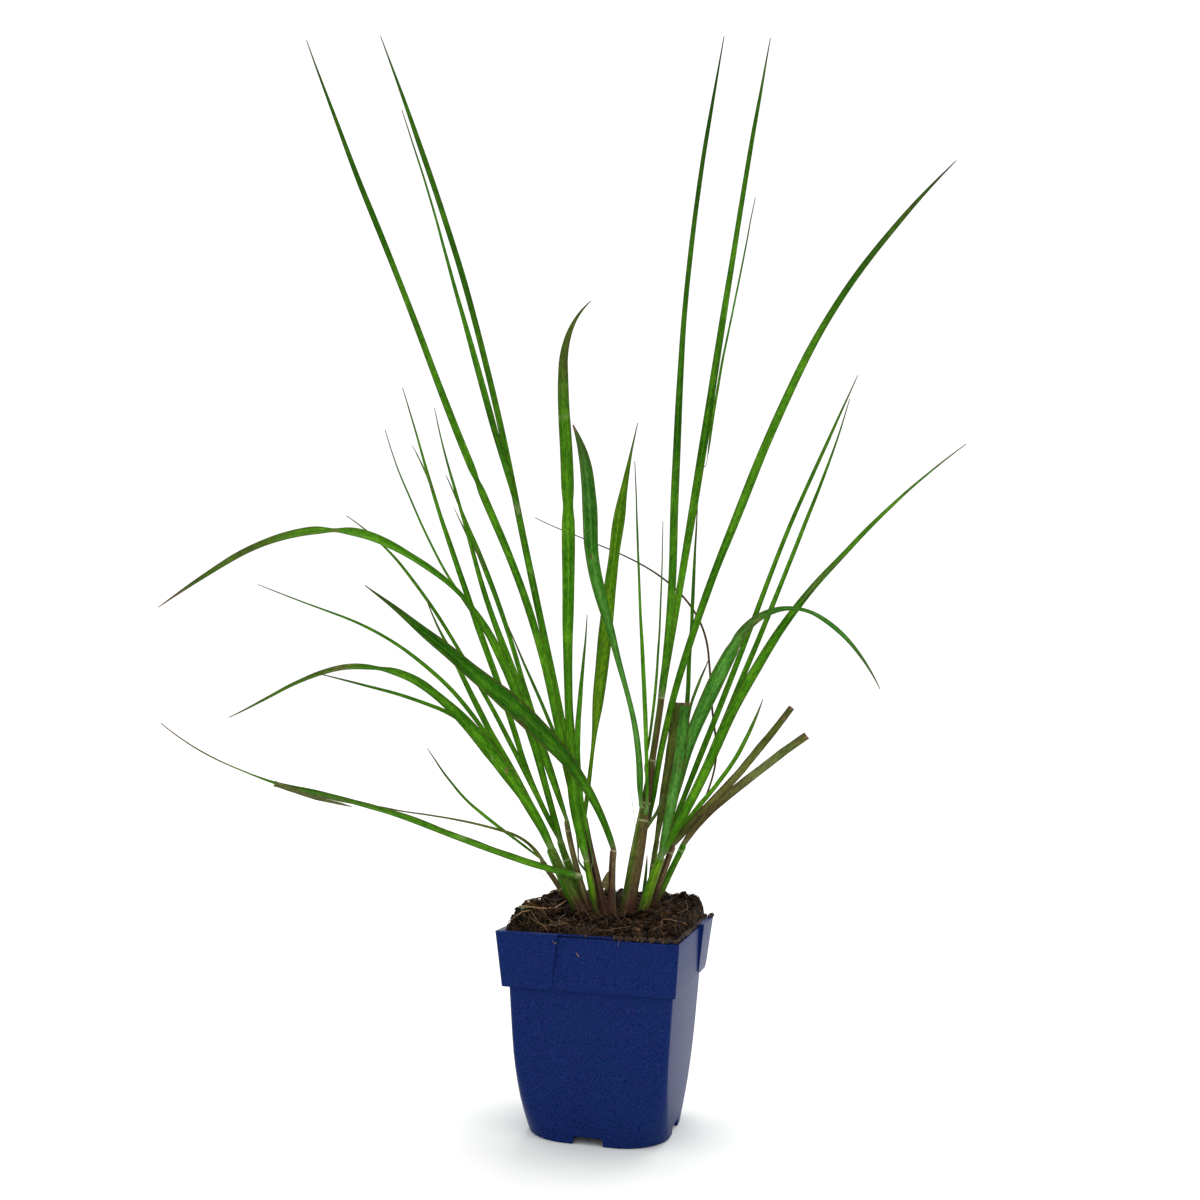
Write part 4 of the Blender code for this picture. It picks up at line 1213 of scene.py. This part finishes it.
def thread(path, radius, sides=4):
    """Rings of a thin thread along a path, tapered at both ends."""
    path = np.asarray(path, float)
    count = len(path)
    way = unit(np.gradient(path, axis=0))
    helper = np.array([0.0, 0.0, 1.0]) if abs(way[0][2]) < 0.8 else np.array([1.0, 0.0, 0.0])
    side = unit(np.cross(way, helper))
    other = np.cross(way, side)
    turn = 2 * np.pi * np.arange(sides) / sides
    taper = np.clip(np.minimum(np.arange(count), np.arange(count)[::-1]) / 2 + 0.35, 0, 1)
    size = (np.asarray(radius) * taper)[:, None, None]
    rings = path[:, None] + size * (
        np.cos(turn)[:, None] * side[:, None] + np.sin(turn)[:, None] * other[:, None]
    )
    return rings


def make_threads(name, paths, radii, tones, material, sides=4):
    """Many threads as one piece."""
    points = []
    faces = []
    tone = []
    start = 0
    for path, radius, shade in zip(paths, radii, tones):
        rings = thread(path, radius, sides)
        faces += tube_faces(len(rings), sides, start)
        points.append(rings.reshape(-1, 3))
        start += rings.shape[0] * sides
        tone.append(np.full(rings.shape[0] * sides, shade))
    tone = np.concatenate(tone)
    flat = np.zeros(len(tone))
    looks = {"place": np.stack([flat, flat, tone], axis=1)}
    piece = make_piece(name, np.concatenate(points), faces, [material], looks)
    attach(piece, "root")
    return piece


def coir_paths(rng, count, length, lift, spread=1.0, area=None):
    """Curly fibres that lie on the soil with their middles raised a little."""
    paths = []
    for _ in range(count):
        x, y = (v[0] for v in on_soil(rng, 1, 2.0))
        if area is not None:
            (x_low, x_high), (y_low, y_high) = area
            x, y = rng.uniform(x_low, x_high), rng.uniform(y_low, y_high)
        steps = 12
        size = length[0] + (length[1] - length[0]) * rng.random() ** 1.6
        turn = rng.uniform(0, 2 * np.pi)
        curl = rng.normal(0, 1.6) / steps * spread
        kink = rng.normal(0, 0.5, steps) * spread
        step = size / steps
        rise = rng.uniform(*lift)
        wave = rng.uniform(0.2, 0.8)
        points = []
        for k in range(steps + 1):
            share = k / steps
            up = rise * np.sin(np.pi * share) ** wave + 0.25
            limit = MOUTH_HALF - 0.5
            x, y = np.clip([x, y], -limit, limit)
            points.append((x, y, float(loose_height(x, y)) + up))
            turn += curl * steps / 6 + kink[min(k, steps - 1)] * 0.5
            x += step * np.cos(turn)
            y += step * np.sin(turn)
        paths.append(smooth_path(points))
    return paths


def smooth_path(points):
    points = np.asarray(points, float)
    soft = points.copy()
    soft[1:-1] = 0.25 * points[:-2] + 0.5 * points[1:-1] + 0.25 * points[2:]
    return soft


def through(marks, count):
    """A smooth path through the listed places."""
    share = np.linspace(0, 1, count)
    marks = np.array(marks, float)
    low = marks.min(axis=0)
    return np.stack([smooth_along(marks[:, k] - low[k], share) + low[k] for k in range(3)], axis=1)


# Pale straws that lie on the soil: their places seen from above, radius and tone
STRAWS = [
    ([(-49, -38), (-37, -22), (-34, 0), (-32, 17)], 0.5, 1.5),
    ([(-50, -20), (-49, 10), (-46, 42)], 0.48, 1.1),
    ([(-52, -50), (-46, -42), (-42, -36)], 0.36, 0.9),
    ([(-42, -36), (-36, -42), (-30, -43), (-22, -39)], 0.28, 0.6),
    ([(-24, -44), (-23, -36), (-26, -28), (-24, -20)], 0.30, 0.5),
    ([(-33, -30), (-28, -34), (-20, -33), (-16, -38)], 0.24, 0.55),
    ([(10, -47), (22, -40), (28, -42)], 0.22, 0.5),
    ([(34, -38), (40, -30), (38, -22)], 0.22, 0.55),
    ([(37, -16), (42, -17), (48, -21)], 0.4, 0.7),
    ([(-2, -44), (8, -49), (14, -46)], 0.22, 0.45),
    ([(44, 0), (48, 14), (44, 26)], 0.24, 0.5),
]

# Bits on the pot's outside and rim: their places, radius and tone
POT_BITS = [
    ([(18.6, -50, 125.6), (20.1, -55.6, 123.6), (19.6, -56, 121.5), (19.1, -56, 118.5)], 0.14, 0.6),
    ([(-21.3, -58.25, 120), (-19.8, -58.1, 118.6), (-18.1, -58.1, 118)], 0.2, 1.0),
    ([(-6.7, -55.7, 113.2), (-5.9, -55.6, 112.2), (-5.1, -55.5, 110.6)], 0.22, 1.5),
    ([(36, -50, 124.6), (38, -55.2, 123), (38.6, -56, 121)], 0.12, 0.4),
    ([(-50, -50, 124), (-54, -55, 122.6), (-60, -58.6, 123.4)], 0.12, 0.6),
]
CLOD_AREA = ((-50, -18), (-48, 0))
STRAW_LIFT = 2.2


def make_litter(pale, dark):
    """Straws on the soil, and bits of fibre that hang over the rim or cling to the pot."""
    paths = []
    for marks, radius, _ in STRAWS:
        flat = through([(x, y, 0) for x, y in marks], 28)
        ground = loose_height(flat[:, 0], flat[:, 1])
        line = np.interp(np.arange(28), [0, 14, 27], ground[[0, 14, 27]] + STRAW_LIFT)
        flat[:, 2] = np.maximum(line, ground + STRAW_LIFT - 1)
        paths.append(smooth_path(flat))
    make_threads("straws", paths, [row[1] for row in STRAWS], [row[2] for row in STRAWS],
                 pale, 7)
    bits = [through(marks, 14) for marks, _, _ in POT_BITS]
    make_threads("pot_bits", bits, [row[1] for row in POT_BITS], [row[2] for row in POT_BITS],
                 pale, 6)
    corners, faces = rounder(*lump_form())
    rng = np.random.default_rng(21)
    crumbs = [(57.2, 55, 124.2, 1.7), (56, 52, 124, 1.1), (53.6, 49.5, 124.4, 1.5)]
    along, off, rise, size = rng.random((4, 230))
    size = 0.45 + 0.95 * size**2
    front = [(16 + 38 * a, -52.6 - 2.2 * o, 122.2 + 1.6 * r, s)
             for a, o, r, s in zip(along[:130], off, rise, size)]
    right = [(52.4 + 1.9 * o, -52 + 102 * a, 122.2 + 1.3 * r, s)
             for a, o, r, s in zip(along[130:], off[130:], rise[130:], size[130:])]
    crumbs += front + right
    points = [
        np.array([x, y, z]) + size * corners * (1 + rng.uniform(-0.2, 0.2, (len(corners), 1)))
        for x, y, z, size in crumbs
    ]
    index = [(faces + k * len(corners)).tolist() for k in range(len(crumbs))]
    tone = np.repeat(0.3 * 4 ** rng.random(len(crumbs)), len(corners))
    flat = np.zeros(len(tone))
    looks = {"place": np.stack([flat, flat, tone], axis=1)}
    piece = make_piece("rim_crumbs", np.concatenate(points), sum(index, []), [dark], looks)
    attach(piece, "root")


def make_bead():
    """A pale green grain of feed among the moss."""
    n = Nodes("bead_green")
    cloud = n.noise(n.place(), 900.0, 3.0, 0.6)
    colour = n.mix(n.span(cloud, 0.35, 0.65), (0.10, 0.27, 0.15), (0.32, 0.52, 0.34))
    material = n.finish(colour, 0.6, cloud, 0.0002, 0.4, Specular_IOR_Level=0.2)
    corners, faces = rounder(*rounder(*lump_form()))
    beads = [(-48, -34, 1.45), (-5, 1, 0.6), (-2, -3, 0.7)]
    points = []
    index = []
    for x, y, size in beads:
        index += (faces + len(points) * len(corners)).tolist()
        points.append(corners * size + [x, y, float(loose_height(x, y)) + size])
    piece = make_piece("feed_grains", np.concatenate(points), index, [material])
    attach(piece, "root")


# Narrow strips split from a shoot: the shoot and share that each leaves from, its course to the
# right and up from there as the camera sees it, its widths and its finish
STRIPS = [
    ("strip_high_left", "blade_left_upright", 0.77, [(0, 0), (-5, 12), (-11, 24), (-15.5, 32)],
     (1.2, 1.4, 0.9, 0.3), GREEN),
    ("strip_back_left", "blade_left_back_thin", 0.66, [(0, 0), (-6, 12), (-14, 25), (-25, 46)],
     (1.4, 2.0, 1.6, 0.3), DARK),
    ("strip_right", "blade_right_long", 0.515, [(0, 0), (8, 11), (18, 22), (31, 34)],
     (1.2, 2.0, 1.4, 0.3), GREEN),
    ("strip_trailing", "blade_left_trailing", 0.73, [(0, -0.5), (10, -3.5), (24, -8), (38, -11),
                                                     (47, -13)], (3.2, 3, 2.4, 1.6, 0.4), OLIVE),
    ("strip_main", "stem_main", 0.385, [(2, -1), (7, 7), (11, 14), (14, 24)],
     (1.5, 2.2, 2.4, 0.8), DARK),
    ("strip_stub", "stem_stub", 0.40, [(-2.4, 0), (-3.9, 2.5), (-4.3, 5), (-3.6, 8), (-2.6, 11.5)],
     (1.8, 3.8, 4.4, 3.0, 0.8), TAN),
]

# Fine hairs on the shoots, listed in the same way with their radius
HAIRS = [
    ("stem_main", 0.40, [(-4.2, 0), (-5.5, 9), (-7.2, 20)], 0.16),
    ("stem_right_outer", 1.0, [(0, 0), (5, 1), (11, 3.5)], 0.12),
    ("blade_cut_dark", 0.9, [(2, 0), (3.6, 6), (6, 15)], 0.12),
    ("blade_right_drooping", 0.1, [(2, 0), (5, 5), (7, 13)], 0.10),
    ("stem_left_outer", 1.0, [(0, -1), (3, -6), (6, -4), (9, -7), (12, -5)], 0.15),
    ("stem_left_outer", 0.9, [(0, 0), (-3, -3), (-2, -6), (2, -5), (4, -8)], 0.13),
    ("stem_left_back", 0.8, [(-1, 0), (-6, 3), (-11, 1), (-14, -3)], 0.12),
]


def from_shoot(roots, shoots, parent, share, offsets):
    """Places to the right and up of a point of a shoot, just in front of its axis."""
    joint = on_shoot(roots, shoots[parent], share)[0]
    right = heading_of(CAMERA_AZIMUTH)
    near = heading_of(CAMERA_SIDE)
    rise = np.array([0, 0, 1.0])
    steps = enumerate(offsets)
    return [joint + x * right + z * rise + (0.4 + 0.5 * k) * near for k, (x, z) in steps]


def make_extras(roots, shoots, materials, dark):
    """Split strips, a dry flake on the broken stem and fine hairs."""
    for name, parent, share, offsets, widths, colour in STRIPS:
        count = 26
        path = through(from_shoot(roots, shoots, parent, share, offsets), count)
        rng = seeded(name)
        part = np.linspace(0, 1, count)
        way = unit(np.gradient(path, axis=0))
        across = unit(np.cross(way, heading_of(CAMERA_SIDE)))
        front = np.cross(across, way)
        turn = 2 * np.pi * np.arange(10) / 10
        width = smooth_along(widths, part) * (1 + wander(rng, part, 13, 0.12))
        fold = 0.22 * np.cos(turn) ** 2 * width[:, None]
        side = np.cos(turn) * width[:, None] / 2
        depth = 0.16 * np.sin(turn) + fold + wander(rng, part, 7, 0.5)[:, None]
        rings = path[:, None] + side[..., None] * across[:, None] + depth[..., None] * front[:, None]
        flat = np.ones((count, 10))
        u = np.cos(turn) * flat
        along = part[:, None] * flat
        brown = ease(0.85, 1.0, along) * 0.8
        looks = {
            "grain": np.stack([u * 3, np.sin(turn) * flat, along * 60], axis=-1).reshape(-1, 3),
            "place": np.stack([u, along, 0.9 * flat], axis=-1).reshape(-1, 3),
            "wear": np.stack([brown, 0.1 * flat, 0.3 * flat], axis=-1).reshape(-1, 3),
        }
        piece = make_piece(name, rings.reshape(-1, 3), tube_faces(count, 10), [materials[colour]],
                           looks)
        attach(piece, "root")
    paths = [through(from_shoot(roots, shoots, *row[:3]), 20) for row in HAIRS]
    make_threads("shoot_hairs", paths, [row[3] for row in HAIRS], [1.3] * len(HAIRS), dark, 5)


def set_camera():
    azimuth = np.radians(CAMERA_AZIMUTH)
    back = np.array([np.sin(azimuth), -np.cos(azimuth), 0.0])
    right = np.array([np.cos(azimuth), np.sin(azimuth), 0.0])
    upward = np.array([0.0, 0.0, 1.0])
    pitch = np.radians(CAMERA_PITCH)
    behind = back * np.cos(pitch) - upward * np.sin(pitch)
    over = upward * np.cos(pitch) + back * np.sin(pitch)
    camera = bpy.data.objects.new("camera", bpy.data.cameras.new("camera"))
    camera.data.lens = CAMERA_LENS
    camera.data.sensor_width = 36
    camera.data.clip_start = 0.01
    turn = np.array([right, over, behind]).T
    place = back * CAMERA_DISTANCE + right * CAMERA_SIDESTEP + upward * CAMERA_HEIGHT
    matrix = Matrix([[*turn[k], place[k]] for k in range(3)] + [[0, 0, 0, 1]])
    camera.matrix_world = matrix @ Matrix.Rotation(np.radians(CAMERA_ROLL), 4, "Z")
    bpy.context.scene.collection.objects.link(camera)
    bpy.context.scene.camera = camera


def set_light():
    world = bpy.data.worlds.new("studio")
    bpy.context.scene.world = world
    world.use_nodes = True
    background = world.node_tree.nodes["Background"]
    background.inputs["Color"].default_value = (1, 1, 1, 1)
    background.inputs["Strength"].default_value = WORLD_STRENGTH
    key = bpy.data.objects.new("key_light", bpy.data.lights.new("key_light", "SUN"))
    key.data.energy = KEY_STRENGTH
    key.data.angle = np.radians(KEY_SOFTNESS)
    towards = unit(np.array(KEY_HEADING))
    side = unit(np.cross([0.0, 1.0, 0.0], towards))
    turn = np.array([side, np.cross(towards, side), towards]).T
    key.matrix_world = Matrix([[*turn[k], towards[k] * 2] for k in range(3)] + [[0, 0, 0, 1]])
    bpy.context.scene.collection.objects.link(key)
    bpy.context.scene.view_settings.view_transform = "Standard"


def make_floor():
    half = FLOOR_HALF / MM
    steps = np.linspace(-half, half, 9)
    points = [(x, y, -0.15) for y in steps for x in steps]
    faces = [
        (9 * j + i, 9 * j + i + 1, 9 * j + i + 10, 9 * j + i + 9) for j in range(8) for i in range(8)
    ]
    floor = make_piece("studio_floor", points, faces, [floor_material()], smooth=False)


def main():
    set_camera()
    set_light()
    make_floor()
    materials = {slot: plant_material(slot, *tissue) for slot, tissue in TISSUE.items()}
    for slot, tissue in TISSUE.items():
        materials[slot + "_culm"] = plant_material(slot + "_culm", *tissue, ribbed=False)
    roots, shoots = all_roots()
    for stem in STEMS:
        make_stem(stem, roots, materials)
    for blade in BLADES:
        make_blade(blade, roots, shoots, materials)
    make_pot(pot_material())
    peat = soil_material("peat", (0.005, 0.0025, 0.0013), (0.036, 0.0165, 0.0072), (0.17, 0.088, 0.040))
    make_soil(peat)
    rng = np.random.default_rng(7)
    make_crumbs("soil_lumps", rng, 850, (0.7, 2.7), peat, True)
    make_crumbs("soil_crumbs", rng, 4200, (0.28, 1.0), peat, False)
    coir = fibre_material("coir", (0.010, 0.0045, 0.002), (0.072, 0.032, 0.013), (0.20, 0.10, 0.042))
    pale_coir = fibre_material(
        "pale_coir", (0.10, 0.048, 0.018), (0.27, 0.150, 0.062), (0.48, 0.33, 0.17)
    )
    fine = coir_paths(rng, 1000, (4, 14), (0.2, 1.5))
    make_threads("coir_fibres", fine, rng.uniform(0.09, 0.2, 1000), 0.16 * 14 ** rng.random(1000),
                 coir)
    light = coir_paths(rng, 130, (5, 16), (0.5, 2.4))
    make_threads("pale_fibres", light, rng.uniform(0.08, 0.17, 130), 0.25 * 4 ** rng.random(130),
                 pale_coir)
    loops = coir_paths(rng, 26, (12, 28), (1.0, 3.4), 1.6, CLOD_AREA)
    make_threads("clod_fibres", loops, rng.uniform(0.14, 0.24, 26), rng.uniform(0.3, 0.75, 26),
                 pale_coir)
    make_litter(pale_coir, coir)
    make_bead()
    make_extras(roots, shoots, materials, coir)


main()
